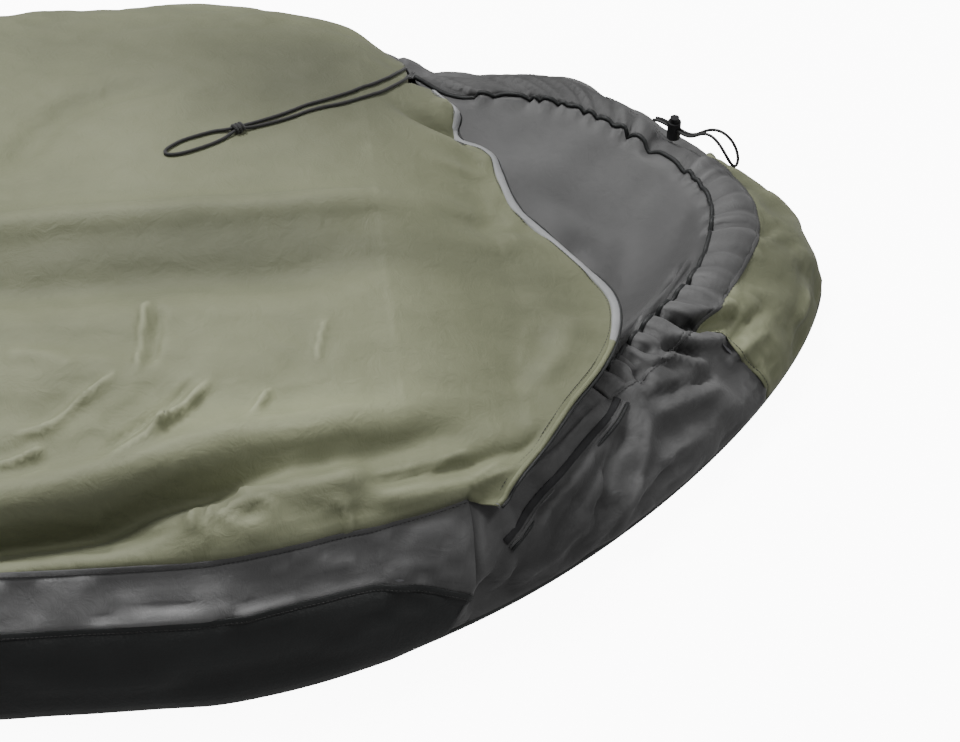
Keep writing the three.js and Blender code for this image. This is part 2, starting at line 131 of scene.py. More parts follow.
def node(tree, kind, inputs=None, **settings):
    """A shader node of that kind. An input is a socket to link or a value."""
    made = tree.nodes.new("ShaderNode" + kind)
    for key, value in settings.items():
        setattr(made, key, value)
    for key, value in (inputs or {}).items():
        if isinstance(value, bpy.types.NodeSocket):
            tree.links.new(value, made.inputs[key])
        else:
            made.inputs[key].default_value = value
    return made


def reckon(tree, operation, a, b=None):
    values = {0: a} if b is None else {0: a, 1: b}
    return node(tree, "Math", values, operation=operation).outputs[0]


def link(tree, shader, **sockets):
    for key, socket in sockets.items():
        tree.links.new(socket, shader.inputs[key.replace("_", " ")])


def plain_floor():
    return new_material("studio_floor", Base_Color=(0.93, 0.93, 0.93, 1), Roughness=0.9, Specular_IOR_Level=0,
                        Emission_Color=(1, 1, 1, 1), Emission_Strength=FLOOR_GLOW)[0]


def attribute(tree, name):
    return node(tree, "Attribute", attribute_name=name).outputs["Fac"]


def object_place(tree):
    return node(tree, "TexCoord").outputs["Object"]


def cloth_place(tree):
    """Surface coordinates in metres: along the cloth and across."""
    uv = node(tree, "UVMap", uv_map="cloth").outputs["UV"]
    split = node(tree, "SeparateXYZ", {"Vector": uv})
    return split.outputs["X"], split.outputs["Y"]


def noise(tree, place, scale, detail, **more):
    values = {"Vector": place, "Scale": scale, "Detail": detail, **more}
    return node(tree, "TexNoise", values).outputs["Fac"]


def bump(tree, strength, distance, height, **more):
    values = {"Strength": strength, "Distance": distance, "Height": height, **more}
    return node(tree, "Bump", values).outputs["Normal"]


def about(tree, value, middle, spread):
    """A wandering value between middle - spread and middle + spread."""
    values = {"Value": value, "To Min": middle - spread, "To Max": middle + spread}
    return node(tree, "MapRange", values).outputs["Result"]


def between(tree, share, a, b):
    mixed = node(tree, "Mix", {"Factor": share, 6: a, 7: b}, data_type="RGBA")
    return mixed.outputs[2]


def mottle(tree, place, scale, dark, light):
    """A colour that wanders between two shades over the surface."""
    ramp = node(tree, "ValToRGB", {"Fac": noise(tree, place, scale, 5.0, Roughness=0.6)})
    for element, position, color in zip(ramp.color_ramp.elements, (0.35, 0.65), (dark, light)):
        element.position = position
        element.color = (*color, 1)
    return ramp.outputs["Color"]


def wave(tree, at, pitch):
    return reckon(tree, "SINE", reckon(tree, "MULTIPLY", at, 2 * math.pi / pitch))


def threads(tree, pitch):
    """Warp and weft."""
    return reckon(tree, "MULTIPLY", *(wave(tree, at, pitch) for at in cloth_place(tree)))


def cloth(name, dark, light, roughness, sheen, worn, crinkle=0.4, coat=0.0):
    """Woven nylon: threads, a fine crinkle, shade that wanders, paler high folds, and painted light and shade
    by place.
    """
    material, tree, shader = new_material(name, Sheen_Weight=sheen, Sheen_Roughness=0.45, Coat_Weight=coat,
                                          Coat_Roughness=0.35, Specular_IOR_Level=0.4)
    place = object_place(tree)
    color = between(tree, attribute(tree, "raised"), mottle(tree, place, 7.0, dark, light), (*worn, 1))
    # the colour is scaled by the painted light and shade stored on the points
    painted_color = node(tree, "VectorMath", {0: color, "Scale": attribute(tree, "painted_light")}, operation="SCALE")
    creases = noise(tree, place, 55.0, 4.0, Roughness=0.62, Distortion=0.6)
    coarse = bump(tree, crinkle, 0.004, creases)
    fine = bump(tree, 0.35, 0.00018, threads(tree, THREAD_PITCH), Normal=coarse)
    rough = about(tree, noise(tree, place, 22.0, 3.0), roughness, 0.09)
    link(tree, shader, Base_Color=painted_color.outputs["Vector"], Roughness=rough, Normal=fine)
    return material


def braided(name, dark, light, diameter):
    """A braided jacket: two sets of strands crossing round the cord."""
    material, tree, shader = new_material(name, Roughness=0.7, Sheen_Weight=0.2)
    along_it, round_it = cloth_place(tree)
    slanted = [reckon(tree, "ADD", along_it, reckon(tree, "MULTIPLY", round_it, way)) for way in (1.0, -1.0)]
    braid = reckon(tree, "MULTIPLY", *(wave(tree, at, diameter * 0.8) for at in slanted))
    share = node(tree, "MapRange", {"Value": braid, "From Min": -1.0, "From Max": 1.0}).outputs["Result"]
    color = between(tree, share, (*dark, 1), (*light, 1))
    link(tree, shader, Base_Color=color, Normal=bump(tree, 0.6, 0.0003, braid))
    return material


def grained(name, dark, light, roughness, scale, depth, metallic=0.0):
    """Moulded plastic, wire, pressed tape or hooks, by the scale and depth of the grain."""
    material, tree, shader = new_material(name, Metallic=metallic)
    place = object_place(tree)
    grain = noise(tree, place, scale, 3.0)
    link(tree, shader, Base_Color=mottle(tree, place, 30.0, dark, light),
         Normal=bump(tree, 0.5, depth, grain), Roughness=about(tree, grain, roughness, 0.08))
    return material


def grey(value):
    return (value, value, value)


M = {
    "olive": cloth("olive_shell", (0.170, 0.181, 0.106), (0.214, 0.226, 0.136), 0.62, 0.12,
                   (0.33, 0.345, 0.225)),
    "grey": cloth("grey_shell", grey(0.062), grey(0.088), 0.58, 0.14, grey(0.16)),
    "black": cloth("black_floor", (0.0085, 0.0095, 0.0095), (0.0150, 0.0165, 0.0165), 0.55, 0.08,
                   (0.030, 0.032, 0.032), coat=0.06),
    "inside": cloth("coated_inside", grey(0.066), grey(0.084), 0.52, 0.08, grey(0.19), crinkle=0.12,
                    coat=0.04),
    "hem": cloth("hem_lining", (0.24, 0.245, 0.25), (0.36, 0.365, 0.37), 0.5, 0.15, grey(0.5)),
    "tape": grained("seam_tape", (0.13, 0.13, 0.14), (0.17, 0.17, 0.18), 0.42, 240.0, 0.0004),
    "cord": braided("braided_cord", grey(0.006), grey(0.022), 0.003),
    "thread": braided("thread", grey(0.010), (0.030, 0.030, 0.028), 0.0008),
    "plastic": grained("lock_plastic", (0.010, 0.010, 0.011), (0.017, 0.017, 0.018), 0.4, 900.0, 0.0001),
    "steel": grained("spring_steel", (0.35, 0.35, 0.36), grey(0.5), 0.3, 700.0, 0.00005, metallic=1.0),
    "fastener": grained("hook_and_loop", (0.015, 0.015, 0.016), (0.035, 0.035, 0.037), 0.9, 1400.0, 0.0012),
}


# ---------------------------------------------------------------- the sack's outlines, as in the part
HEAD_X, FOOT_X, SHOULDER_X = 1110.0, -1110.0, 520.0
SHOULDER_HALF, FOOT_HALF = 418.0, 300.0
HEAD_POWERS, LOFT_POWERS, FOOT_CLIMB_POWERS = (1.7, 0.74), (2.6, 0.62), (2.4, 0.62)
FOOT_CORNER, FOOT_ROUND = 150.0, 0.55
NECK_X = 738.0
FLOOR_INSET = 18.0
CORNER_X = FOOT_X + FOOT_CORNER
TUB_SEAM, TUB_LOW, TUB_DROP = 0.8, 0.2, (640.0, 885.0)
PULL_FROM = 0.6
SIDE_SECTION = [[14, 0.8], [3, 12], [0, 36], [12, 85], [45, 130]]
CREST = [[-1100, 150], [-930, 176], [-500, 190], [200, 202], [520, 200], [640, 194], [700, 186],
         [738, 174], [790, 146], [890, 119]]
WALL_SHARE = [[-1100, 0.82], [-800, 0.9], [0, 1], [600, 1], [738, 0.86]]
RIGHT_PULL = [[0, 0], [520, 12], [690, 30], [738, 58]]
FOOT_RISE = 190.0
HEM_SECTION = [[15, 0.8], [8, 3], [2, 8], [0, 16]]
HEM_TOP = 16.0
HOOD_FULL = (1.7, 1.3, 1.5)  # fullness at the left, what the crown adds, and what the right side loses
HOOD_FILLS, HOOD_SHRINKS = (0.4, 0.7), (0.8, 1)  # the stretches over which the fullness changes
HOOD_CLIMB = 1.5
CROWN_FROM, CROWN_TO = 0.34, 0.66
COLLAR_FROM, COLLAR_TO = 0.2, 0.985
COLLAR_START, COLLAR_SEAM, COLLAR_WIDENS = 0.88, 0.78, (0.17, 0.3)
RIM = [[744, -304, 98], [800, -252, 97], [858, -186, 96], [910, -124, 96], [965, -65, 96], [995, 0, 92],
       [999, 58, 90], [965, 120, 92], [905, 174, 92], [825, 212, 95], [744, 238, 103]]
FLAP_EDGE = [[762, -322], [805, -274], [833, -234], [863, -191], [884, -145], [886, -98], [850, -45],
             [820, -5], [811, 30], [806, 70], [798, 106], [762, 160]]
FLAP_RIGHT_Y = 166.0
TAIL = [[744, 208], [737, 185], [725, 160], [700, 133], [662, 107], [622, 86], [592, 72]]
KNOT = np.array([579.0, 66.0])
LOCK_AT = np.array([986.949, 137.385, 104.0])
LOCK_WAY = np.array([0.62089, -0.78390, 0.0])
LOCK_OUT = np.array([0.78390, 0.62089, 0.0])
LOCK_LOOP = [[-24, -3], [-16, 0], [0, 0], [17, 0], [27, 6], [39, 17], [52, 21], [65, 15], [74, 3], [77, -5]]
LOCK_STRAND = [2, 2, 2, 2, 2.4, 4, 6, 7.5, 6, 0]


def lerp(a, b, t):
    return a + (b - a) * t


def smoothstep(x, low, high):
    t = np.clip((x - low) / (high - low), 0, 1)
    return t * t * (3 - 2 * t)


def unit(ways):
    return ways / np.linalg.norm(ways, axis=-1, keepdims=True)


def run_of(line):
    """The length along a line at each of its points."""
    return np.concatenate([[0], np.cumsum(np.linalg.norm(np.diff(line, axis=0), axis=1))])


def sample(line, run, at):
    return np.stack([np.interp(at, run, c) for c in line.T], axis=-1)


def sideways(line, out):
    """Unit directions across a line, in the cloth whose outward directions are out."""
    return unit(np.cross(np.gradient(line, axis=0), out))


def lifted(flat, z):
    """Points from their places on the ground and their heights."""
    return np.concatenate([flat, z[..., None]], axis=-1)


def near(co, middle, reach):
    """1 at the middle, and soft down to nothing some two reaches away."""
    return np.exp(-(((co - np.array(middle)) / reach) ** 2).sum(-1))


def cells(grid):
    """The four corners of each cell of a grid."""
    return np.stack([grid[:-1, :-1], grid[1:, :-1], grid[1:, 1:], grid[:-1, 1:]], axis=2)


def along(knots, x):
    """The value between [station, value] knots, half straight and half eased."""
    knots = np.array(knots, float)
    i = np.clip(np.searchsorted(knots[:, 0], x) - 1, 0, len(knots) - 2)
    t = np.clip((x - knots[i, 0]) / (knots[i + 1, 0] - knots[i, 0]), 0, 1)
    return lerp(knots[i, 1], knots[i + 1, 1], (t + t * t * (3 - 2 * t)) / 2)


SMALL = 0.004  # a small share of a curve


class Curve:
    """A Catmull-Rom curve. Its parameter runs from 0 to 1 in equal steps between its points."""

    def __init__(self, points, per=24):
        p = np.array(points, float)
        p = np.vstack([2 * p[0] - p[1], p, 2 * p[-1] - p[-2]])
        t = np.linspace(0, 1, per, endpoint=False)[:, None]
        dense = []
        for a, b, c, d in zip(p[:-3], p[1:-2], p[2:-1], p[3:]):
            dense.append(0.5 * (2 * b + (c - a) * t + (2 * a - 5 * b + 4 * c - d) * t**2
                                + (3 * b - a - 3 * c + d) * t**3))
        self.points = np.vstack([*dense, p[-2:-1]])
        self.steps = np.linspace(0, 1, len(self.points))
        self.run = run_of(self.points)
        self.length = self.run[-1]

    def at(self, t):
        return sample(self.points, self.steps, t)

    def at_length(self, share):
        """The point at that share of the curve's length."""
        return sample(self.points, self.run, share * self.length)

    def way(self, t):
        return unit(self.at(np.clip(t + SMALL, 0, 1)) - self.at(np.clip(t - SMALL, 0, 1)))


def rounded(share, powers):
    """From 1 at a share of 0 round to 0 at a share of 1."""
    return (1 - share ** powers[0]) ** powers[1]


def half_width(x):
    t = np.clip((x - SHOULDER_X) / (HEAD_X - SHOULDER_X), 0, 1)
    back = (SHOULDER_X - x) / (SHOULDER_X - FOOT_X)
    return np.where(x >= SHOULDER_X, SHOULDER_HALF * rounded(t, HEAD_POWERS),
                    lerp(SHOULDER_HALF, FOOT_HALF, 0.5 * back + 0.5 * back**2))


side_section = Curve(SIDE_SECTION)
hem_section = Curve(HEM_SECTION)
rim = Curve(RIM)
flap_edge = Curve(FLAP_EDGE)
head_x = HEAD_X - (HEAD_X - NECK_X) * (1 - np.linspace(0, 1, 25)) ** 2
head_left = np.stack([head_x, -half_width(head_x)], axis=1)
head_outline = Curve(np.vstack([head_left, head_left[-2::-1] * [1, -1]]))


def side_face(side, x, k):
    inset, z = np.moveaxis(side_section.at(k), -1, 0)
    pull = along(RIGHT_PULL, x) * smoothstep(k, PULL_FROM, 1) if side > 0 else 0
    return np.stack([x + 0 * z, side * (half_width(x) - inset - pull), z * along(WALL_SHARE, x)], axis=-1)


def foot_outline(share):
    angle = math.pi * (np.clip(share, 0, 1) - 0.5)
    bent = [np.sign(v) * np.abs(v) ** FOOT_ROUND for v in (np.cos(angle), np.sin(angle))]
    return np.stack([CORNER_X - FOOT_CORNER * bent[0], half_width(CORNER_X) * bent[1]], axis=-1)


def foot_face(share, k):
    inset, z = np.moveaxis(side_section.at(k), -1, 0)
    at = foot_outline(share)
    way = unit(foot_outline(share + SMALL / 2) - foot_outline(share - SMALL / 2))
    return np.stack([at[..., 0] + way[..., 1] * inset, at[..., 1] - way[..., 0] * inset,
                     z * along(WALL_SHARE, at[..., 0])], axis=-1)


def tub_seam(x):
    return lerp(TUB_SEAM, TUB_LOW, smoothstep(x, *TUB_DROP))


def top_edge(side, x):
    return side_face(side, np.clip(x, CORNER_X, NECK_X), np.ones_like(x))


def top_height(x, y):
    left, right = top_edge(-1, x), top_edge(1, x)
    v = np.clip((2 * y - left[..., 1] - right[..., 1]) / (right[..., 1] - left[..., 1]), -1, 1)
    crest = np.maximum(left[..., 2], along(CREST, x))
    return left[..., 2] + (crest - left[..., 2]) * rounded(np.abs(v), LOFT_POWERS)


def top_face(x_to, v):
    """The top from the foot seam. x_to is the station that the row reaches at the sides."""
    foot = foot_face(v, np.ones_like(v))
    u = (x_to - CORNER_X) / (NECK_X - CORNER_X)
    x = lerp(foot[..., 0], NECK_X, u)
    across = lerp(top_edge(-1, x)[..., 1], top_edge(1, x)[..., 1], v)
    home = np.full_like(x, CORNER_X)
    shift = foot[..., 1] - lerp(top_edge(-1, home)[..., 1], top_edge(1, home)[..., 1], v)
    y = across + shift * (1 - smoothstep(x, foot[..., 0], foot[..., 0] + FOOT_RISE))
    climb = rounded(1 - np.clip((x - foot[..., 0]) / FOOT_RISE, 0, 1), FOOT_CLIMB_POWERS)
    return np.stack([x, y, lerp(foot[..., 2], top_height(x, y), climb)], axis=-1)


def hood_face(s, t):
    ground = head_outline.at_length(np.clip(s, 0, 1))
    top = rim.at(np.clip(s, 0, 1))
    left, crown, right = HOOD_FULL
    full = left + crown * smoothstep(s, *HOOD_FILLS) - right * smoothstep(s, *HOOD_SHRINKS)
    x = lerp(ground[..., 0], top[..., 0], t**full)
    y = lerp(ground[..., 1], top[..., 1], t**full)
    z = lerp(HEM_TOP, top[..., 2], 1 - (1 - t) ** HOOD_CLIMB)
    return np.stack([x, y, z], axis=-1)


NECK_STRAIGHT = 0.08  # the share of the hood's outline whose inset turns to straight across


def head_inset(s, inset):
    """A point of the hood's outline moved inwards, straight across near the necks."""
    s = np.clip(s, 0, 1)
    at = head_outline.at_length(s)
    ahead, behind = (head_outline.at_length(np.clip(s + step, 0, 1)) for step in (SMALL, -SMALL))
    way = unit(ahead - behind)
    free = smoothstep(np.minimum(s, 1 - s), 0, NECK_STRAIGHT)
    inward = [-way[..., 1] * free, way[..., 0] * free + (1 - free) * np.where(s < 0.5, 1, -1)]
    return at + unit(np.stack(inward, axis=-1)) * inset[..., None]


def collar_seam(s):
    return lerp(COLLAR_START, COLLAR_SEAM, smoothstep(s, *COLLAR_WIDENS))


# ---------------------------------------------------------------- the shell of cloth
def graded(knots):
    """Stations between [position, spacing] knots."""
    at = [knots[0][0]]
    while at[-1] < knots[-1][0]:
        at.append(at[-1] + np.interp(at[-1], *np.array(knots, float).T))
    at = np.array(at)
    return knots[0][0] + (at - at[0]) * (knots[-1][0] - knots[0][0]) / (at[-1] - at[0])


def metric(points):
    """Surface coordinates of a grid in millimetres: along its rows' direction and across."""
    down = np.linalg.norm(np.diff(points, axis=0), axis=-1).mean(1)
    over = np.linalg.norm(np.diff(points, axis=1), axis=-1).mean(0)
    u, v = np.concatenate([[0], np.cumsum(down)]), np.concatenate([[0], np.cumsum(over)])
    return np.stack(np.meshgrid(u, v, indexing="ij"), axis=-1)


class Shell:
    """Grids of points that share the points of their seams."""

    def __init__(self):
        self.grids, self.uv = {}, {}
        self.co = np.zeros((0, 3))

    def add(self, name, points):
        start = len(self.co)
        self.co = np.vstack([self.co, points.reshape(-1, 3)])
        self.grids[name] = start + np.arange(points[..., 0].size).reshape(points.shape[:2])
        self.uv[name] = metric(points) * MM

    def weld(self):
        _, first, same = np.unique(np.round(self.co, 4), axis=0, return_index=True, return_inverse=True)
        self.co = self.co[first]
        self.grids = {name: same.reshape(-1)[grid] for name, grid in self.grids.items()}

    def quads(self, *names):
        return np.vstack([cells(self.grids[name]).reshape(-1, 4) for name in names or self.grids])

    def points_of(self, *names):
        return np.unique(np.concatenate([self.grids[name].ravel() for name in names]))

    def quad_normals(self, name):
        """The quads of a grid and their normals, which face as the grid runs."""
        q, co = self.quads(name), self.co
        return q, np.cross(co[q[:, 2]] - co[q[:, 0]], co[q[:, 3]] - co[q[:, 1]])

    def normals(self):
        """Outward normals of all points."""
        total = np.zeros_like(self.co)
        for name in self.grids:
            q, n = self.quad_normals(name)
            for corner in range(4):
                np.add.at(total, q[:, corner], n * self.facing[name])
        return total / np.maximum(np.linalg.norm(total, axis=1, keepdims=True), 1e-9)

    def face_out(self, inside):
        """Notes for each grid which way round it faces out, away from a point inside."""
        self.facing = {}
        for name in self.grids:
            q, n = self.quad_normals(name)
            out = self.co[q].mean(1) - inside
            self.facing[name] = float(np.sign((n * out).sum()))


BODY_STATIONS = [[CORNER_X, 14], [120, 12], [300, 3.3], [640, 3.3], [NECK_X, 4.2]]  # place and spacing
TUB_ROWS, GUSSET_ROWS, TOP_COLUMNS, FLAP_ROWS = 15, 8, 201, 27


def build_shell():
    shell = Shell()
    x = graded(BODY_STATIONS)
    k_tub, k_gusset = np.linspace(0, 1, TUB_ROWS), np.linspace(0, 1, GUSSET_ROWS)
    v = np.linspace(0, 1, TOP_COLUMNS)
    sides = {}
    seam = tub_seam(x)[:, None]
    for name, side in (("left", -1), ("right", 1)):
        sides[name] = [side_face(side, x[:, None], k) for k in (seam * k_tub, lerp(seam, 1, k_gusset))]
    foot = [foot_face(v[:, None], k[None]) for k in (TUB_SEAM * k_tub, lerp(TUB_SEAM, 1, k_gusset))]
    for part in (0, 1):
        foot[part][0] = sides["left"][part][0]
        foot[part][-1] = sides["right"][part][0]
    top = top_face(x[:, None], v[None, :])
    top[:, 0], top[:, -1] = sides["left"][1][:, -1], sides["right"][1][:, -1]
    top[0] = foot[1][:, -1]
    reach = int(np.searchsorted(top[-1, :, 1], FLAP_RIGHT_Y))
    share = np.linspace(0, 1, FLAP_ROWS)[:, None, None]
    edge = flap_edge.at(np.linspace(0.0, 1.0, reach + 1))
    back = top[-1, : reach + 1]
    flat = lerp(back[None, :, :2], edge[None], share)
    flap = lifted(flat, top_height(flat[..., 0], flat[..., 1]))
    flap[0] = back
    for name in ("left", "right"):
        shell.add("tub_" + name, sides[name][0])
        shell.add("gusset_" + name, sides[name][1])
    shell.add("tub_foot", foot[0])
    shell.add("gusset_foot", foot[1])
    shell.add("top", top)
    shell.add("flap", flap)
    add_hood(shell)
    shell.weld()
    slide_neck_seams(shell)
    shell.face_out(np.array([0, 0, 60.0]))
    return shell


HOOD_KNOTS = [  # stretches round the hood, and the cells of each
    (0, COLLAR_FROM, 38), (COLLAR_FROM, CROWN_FROM, 32), (CROWN_FROM, CROWN_TO, 56),
    (CROWN_TO, COLLAR_TO, 62), (COLLAR_TO, 1, 3)]
HOOD_ROWS, COLLAR_ROWS, HEM_ROWS = 26, 15, 6
NECK_BLEND, NECK_LOW = 0.07, 55  # the hood's share, and the height, from which its ends meet the walls


def add_hood(shell):
    """Hem, sides and crown up to the collar's seam, and the collar up to its rim."""
    spans = [np.linspace(a, b, n + 1)[:-1] for a, b, n in HOOD_KNOTS]
    s = np.concatenate([*spans, [1.0]])
    ends = np.cumsum([0] + [n for _, _, n in HOOD_KNOTS])
    seam = collar_seam(s)[:, None]
    low = hood_face(s[:, None], seam * np.linspace(0, 1, HOOD_ROWS))
    high = hood_face(s[:, None], lerp(seam, 1.0, np.linspace(0, 1, COLLAR_ROWS)))
    for at, side in ((0, -1), (-1, 1)):
        wall = side_face(side, np.array([NECK_X]), np.linspace(0, 1, 80))
        for grid in (low, high):
            own = grid[at]
            rim_z = rim.at(float(s[at]))[2]
            high_z = own[:, 2] + (wall[-1, 2] - rim_z) * smoothstep(own[:, 2], NECK_LOW, rim_z)
            target = lifted(sample(wall[:, :2], wall[:, 2], high_z), high_z)
            weight = 1 - smoothstep(np.abs(s - s[at]), 0, NECK_BLEND)
            grid += weight[:, None, None] * (target - own)
    inset, z = np.moveaxis(hem_section.at(np.linspace(0, 1, HEM_ROWS)), -1, 0)
    around, inset, z = np.broadcast_arrays(s[:, None], inset, z)
    hem = lifted(head_inset(around, inset), z)
    hem[:, -1] = low[:, 0]
    shell.add("hood_hem", hem)
    for name, a, b in (("hood_left", 0, 2), ("hood_crown", 2, 3), ("hood_right", 3, 5)):
        shell.add(name, low[ends[a] : ends[b] + 1])
    shell.add("hood_slit", high[: ends[1] + 1])
    shell.add("collar", high[ends[1] : ends[4] + 1])


NECK_SLIDE = 36.0  # how far back the neck seams meet the ground
NECK_SLIDE_TOP, NECK_SLIDE_REACH, NECK_SLIDE_FROM = 50.0, 95.0, 200


def slide_neck_seams(shell):
    """Slants the lower part of both neck seams backwards, along the outline."""
    x, y, z = shell.co.T
    close = np.clip(1 - ((x - NECK_X) / NECK_SLIDE_REACH) ** 2, 0, 1) ** 2
    back = NECK_SLIDE * np.clip(1 - z / NECK_SLIDE_TOP, 0, 1) * close * (np.abs(y) > NECK_SLIDE_FROM)
    shell.co[:, 0] = x - back
    shell.co[:, 1] = y + np.sign(y) * (half_width(x - back) - half_width(x))


def stroke_distance(co, line):
    """Distance of each point to a polyline, and how far along it the nearest place is, 0 to 1."""
    best, place, run = np.full(len(co), np.inf), np.zeros(len(co)), run_of(line)
    for i, (a, b) in enumerate(zip(line[:-1], line[1:])):
        d = b - a
        t = np.clip(((co - a) @ d) / (d @ d), 0, 1)
        off = np.linalg.norm(co - a - t[:, None] * d, axis=1)
        nearer = off < best
        best[nearer] = off[nearer]
        place[nearer] = (run[i] + t[nearer] * (run[i + 1] - run[i])) / run[-1]
    return best, place


CUT_SPARE = np.array([0.008, 0.022, 0.03])  # spare length of loose cloth along, across and up
ROUNDS, LOFT_HOLD = 90, 0.003  # how long the cloth settles, and how strongly the loft draws it back
SPEED_KEPT, PULL, STEP = 0.9, 0.8, 0.6
RIPPLES = (  # heights of the waves that the cloth starts from, their number, lengths and bias
    (2.2, 30, 55, 150, 0.75), (1.1, 40, 26, 60, 0.3))
LINKS = ((1, 1.0), (2, 0.5), (4, 0.6), (7, 0.5))  # grid steps apart, and how firmly they keep their distance


def links_of(shell):
    """Pairs of points that a thread, a diagonal or the cloth's stiffness holds apart, and how firmly."""
    pairs, firm = [], []
    for step, share in LINKS:
        group = []
        for g in shell.grids.values():
            ends = [(g[:-step], g[step:]), (g[:, :-step], g[:, step:])]
            if step == 1:
                ends += [(g[:-1, :-1], g[1:, 1:]), (g[1:, :-1], g[:-1, 1:])]
            group += [np.stack([a.ravel(), b.ravel()], axis=1) for a, b in ends]
        found = np.unique(np.sort(np.vstack(group), axis=1), axis=0)
        found = found[found[:, 0] != found[:, 1]]
        pairs.append(found)
        firm.append(np.full(len(found), share))
    return np.vstack(pairs), np.concatenate(firm)


def ripple(co, waves, low, high, bias):
    """A sum of soft waves of random direction, its length between low and high millimetres.
    bias lengthens the folds forwards: 0 for all directions alike, 1 for folds along the sack."""
    total = np.zeros(len(co))
    for _ in range(waves):
        length = RNG.uniform(low, high)
        angle = RNG.uniform(0, math.pi)
        way = np.array([math.cos(angle) * (1 - bias), math.sin(angle), RNG.uniform(-0.6, 0.6)])
        way *= 2 * math.pi / length / np.linalg.norm(way)
        total += np.sin(co @ way + RNG.uniform(0, 2 * math.pi))
    return total / math.sqrt(waves / 2)


def simulate(shell, free, slack):
    """Lets the cloth buckle: it is cut larger than the room it has, so it folds up between its seams.
    free is how freely each point moves, and slack how much too large the cloth is there, from 0 to 1."""
    pairs, firm = links_of(shell)
    home = shell.co
    way = home[pairs[:, 1]] - home[pairs[:, 0]]
    length = np.linalg.norm(way, axis=1)
    spare = slack[pairs].mean(1) * (np.abs(way / length[:, None]) @ CUT_SPARE)
    start = slack * sum(height * ripple(home, *waves) for height, *waves in RIPPLES)
    co = home + shell.normals() * (start * free)[:, None]
    rest = length * (1 + spare)
    share = (free / np.bincount(pairs.ravel(), np.repeat(firm, 2), len(co)))[:, None]
    speed = np.zeros_like(co)
    for _ in range(ROUNDS):
        d = co[pairs[:, 1]] - co[pairs[:, 0]]
        length = np.linalg.norm(d, axis=1)
        push = d * ((length - rest) * firm / length)[:, None]
        total = np.stack([np.bincount(pairs[:, 0], p, len(co)) - np.bincount(pairs[:, 1], p, len(co))
                          for p in push.T], axis=1)
        speed = SPEED_KEPT * speed + PULL * total * share
        co = co + STEP * speed + (home - co) * (LOFT_HOLD * free)[:, None]
    return co


PAINTED_LIGHT_SPOTS = [  # painted light and shade: how much darker or lighter a piece is painted there, where shade falls or light is strong: middle, reach and share
    ("top_shell", (450, 260, 150), (200, 160, 120), -0.26),
    ("top_shell", (660, 140, 180), (140, 130, 120), -0.52),
    ("top_shell", (560, -82, 198), (260, 42, 60), -0.40),
    ("top_shell", (830, -130, 140), (80, 120, 60), -0.28),
    ("top_shell", (600, -262, 168), (120, 30, 30), 0.42),
    ("top_shell", (490, -330, 156), (120, 17, 40), -0.40),
    ("top_shell", (420, -358, 138), (90, 14, 25), -0.25),
    ("collar", (880, 230, 100), (130, 110, 90), -0.55),
    ("hood_top", (1050, 0, 75), (60, 100, 90), -0.42),
    ("hood_left", (815, -305, 45), (70, 60, 40), -0.60),
    ("hood_left", (915, -178, 84), (50, 34, 22), -0.42),
    ("collar", (962, -113, 88), (36, 9, 12), -0.75),
    ("collar", (905, -160, 90), (34, 30, 20), -0.30),
    ("collar", (1000, 10, 90), (50, 90, 40), 0.10),
    ("gusset_left", (420, -385, 112), (150, 60, 60), 1.10),
    ("gusset_left", (640, -370, 108), (90, 60, 60), 0.30),
]


def light_paint_of(name, co):
    """The painted light and shade of a piece's colour at each point, about 1."""
    painted_light = np.ones(len(co))
    for piece, middle, reach, share in PAINTED_LIGHT_SPOTS:
        if piece == name:
            painted_light += share * near(co, middle, reach)
    return painted_light


# ---------------------------------------------------------------- making pieces
CLOTH_THICK, LINING_THICK = 1.3, 0.8
FLOOR_THICK, STRIP_THICK = 1.0, 1.0
CORD_R = 1.5


def new_piece(name, co, faces, uv, materials, shades=None, raised=None, body="sack"):
    """A mesh piece. co is in millimetres, uv is per face corner in metres, shades a material per face."""
    mesh = bpy.data.meshes.new(name)
    mesh.from_pydata((np.asarray(co) * MM).tolist(), [], [list(map(int, f)) for f in faces])
    layer = mesh.uv_layers.new(name="cloth")
    layer.data.foreach_set("uv", np.asarray(uv, np.float32).ravel())
    for material in materials:
        mesh.materials.append(M[material])
    if shades is not None:
        mesh.polygons.foreach_set("material_index", shades.astype(np.int32))
    mesh.polygons.foreach_set("use_smooth", np.ones(len(mesh.polygons), bool))
    raised = np.zeros(len(co)) if raised is None else raised
    # raised is paler wear on high folds; the other layer holds painted light and shade
    for layer_name, values in (("raised", raised), ("painted_light", light_paint_of(name, co))):
        layer = mesh.attributes.new(layer_name, "FLOAT", "POINT")
        layer.data.foreach_set("value", values.astype(np.float32))
    mesh.update()
    return attached(add_object(name, mesh), body)


def attached(obj, body):
    if body:
        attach(obj, body)
    return obj


def thicken(obj, thickness, inner=0):
    modifier = obj.modifiers.new("cloth_thickness", "SOLIDIFY")
    modifier.thickness = thickness * MM
    modifier.offset = -1
    modifier.material_offset = inner
    modifier.material_offset_rim = 0
    modifier.use_rim = True


def cloth_piece(name, grids, material, body):
    """A panel cut out of the finished shell, facing out, with its coated inner face."""
    faces, uv = [], []
    for grid in grids:
        q, corners = shell.quads(grid), cells(shell.uv[grid]).reshape(-1, 4, 2)
        way = -1 if shell.facing[grid] < 0 else 1
        faces.append(q[:, ::way])
        uv.append(corners[:, ::way])
    used, index = np.unique(np.vstack(faces), return_inverse=True)
    obj = new_piece(name, shell.co[used], index.reshape(-1, 4), np.vstack(uv).reshape(-1, 2),
                    [material, "inside"], raised=shell.raised[used], body=body)
    thicken(obj, CLOTH_THICK, inner=1)
    return obj


BAND_PROFILE = [  # shares of the width and the height
    (-0.5, 0), (-0.47, 0.6), (-0.25, 1), (0.25, 1), (0.47, 0.6), (0.5, 0), (0.25, -0.25), (-0.25, -0.25)]


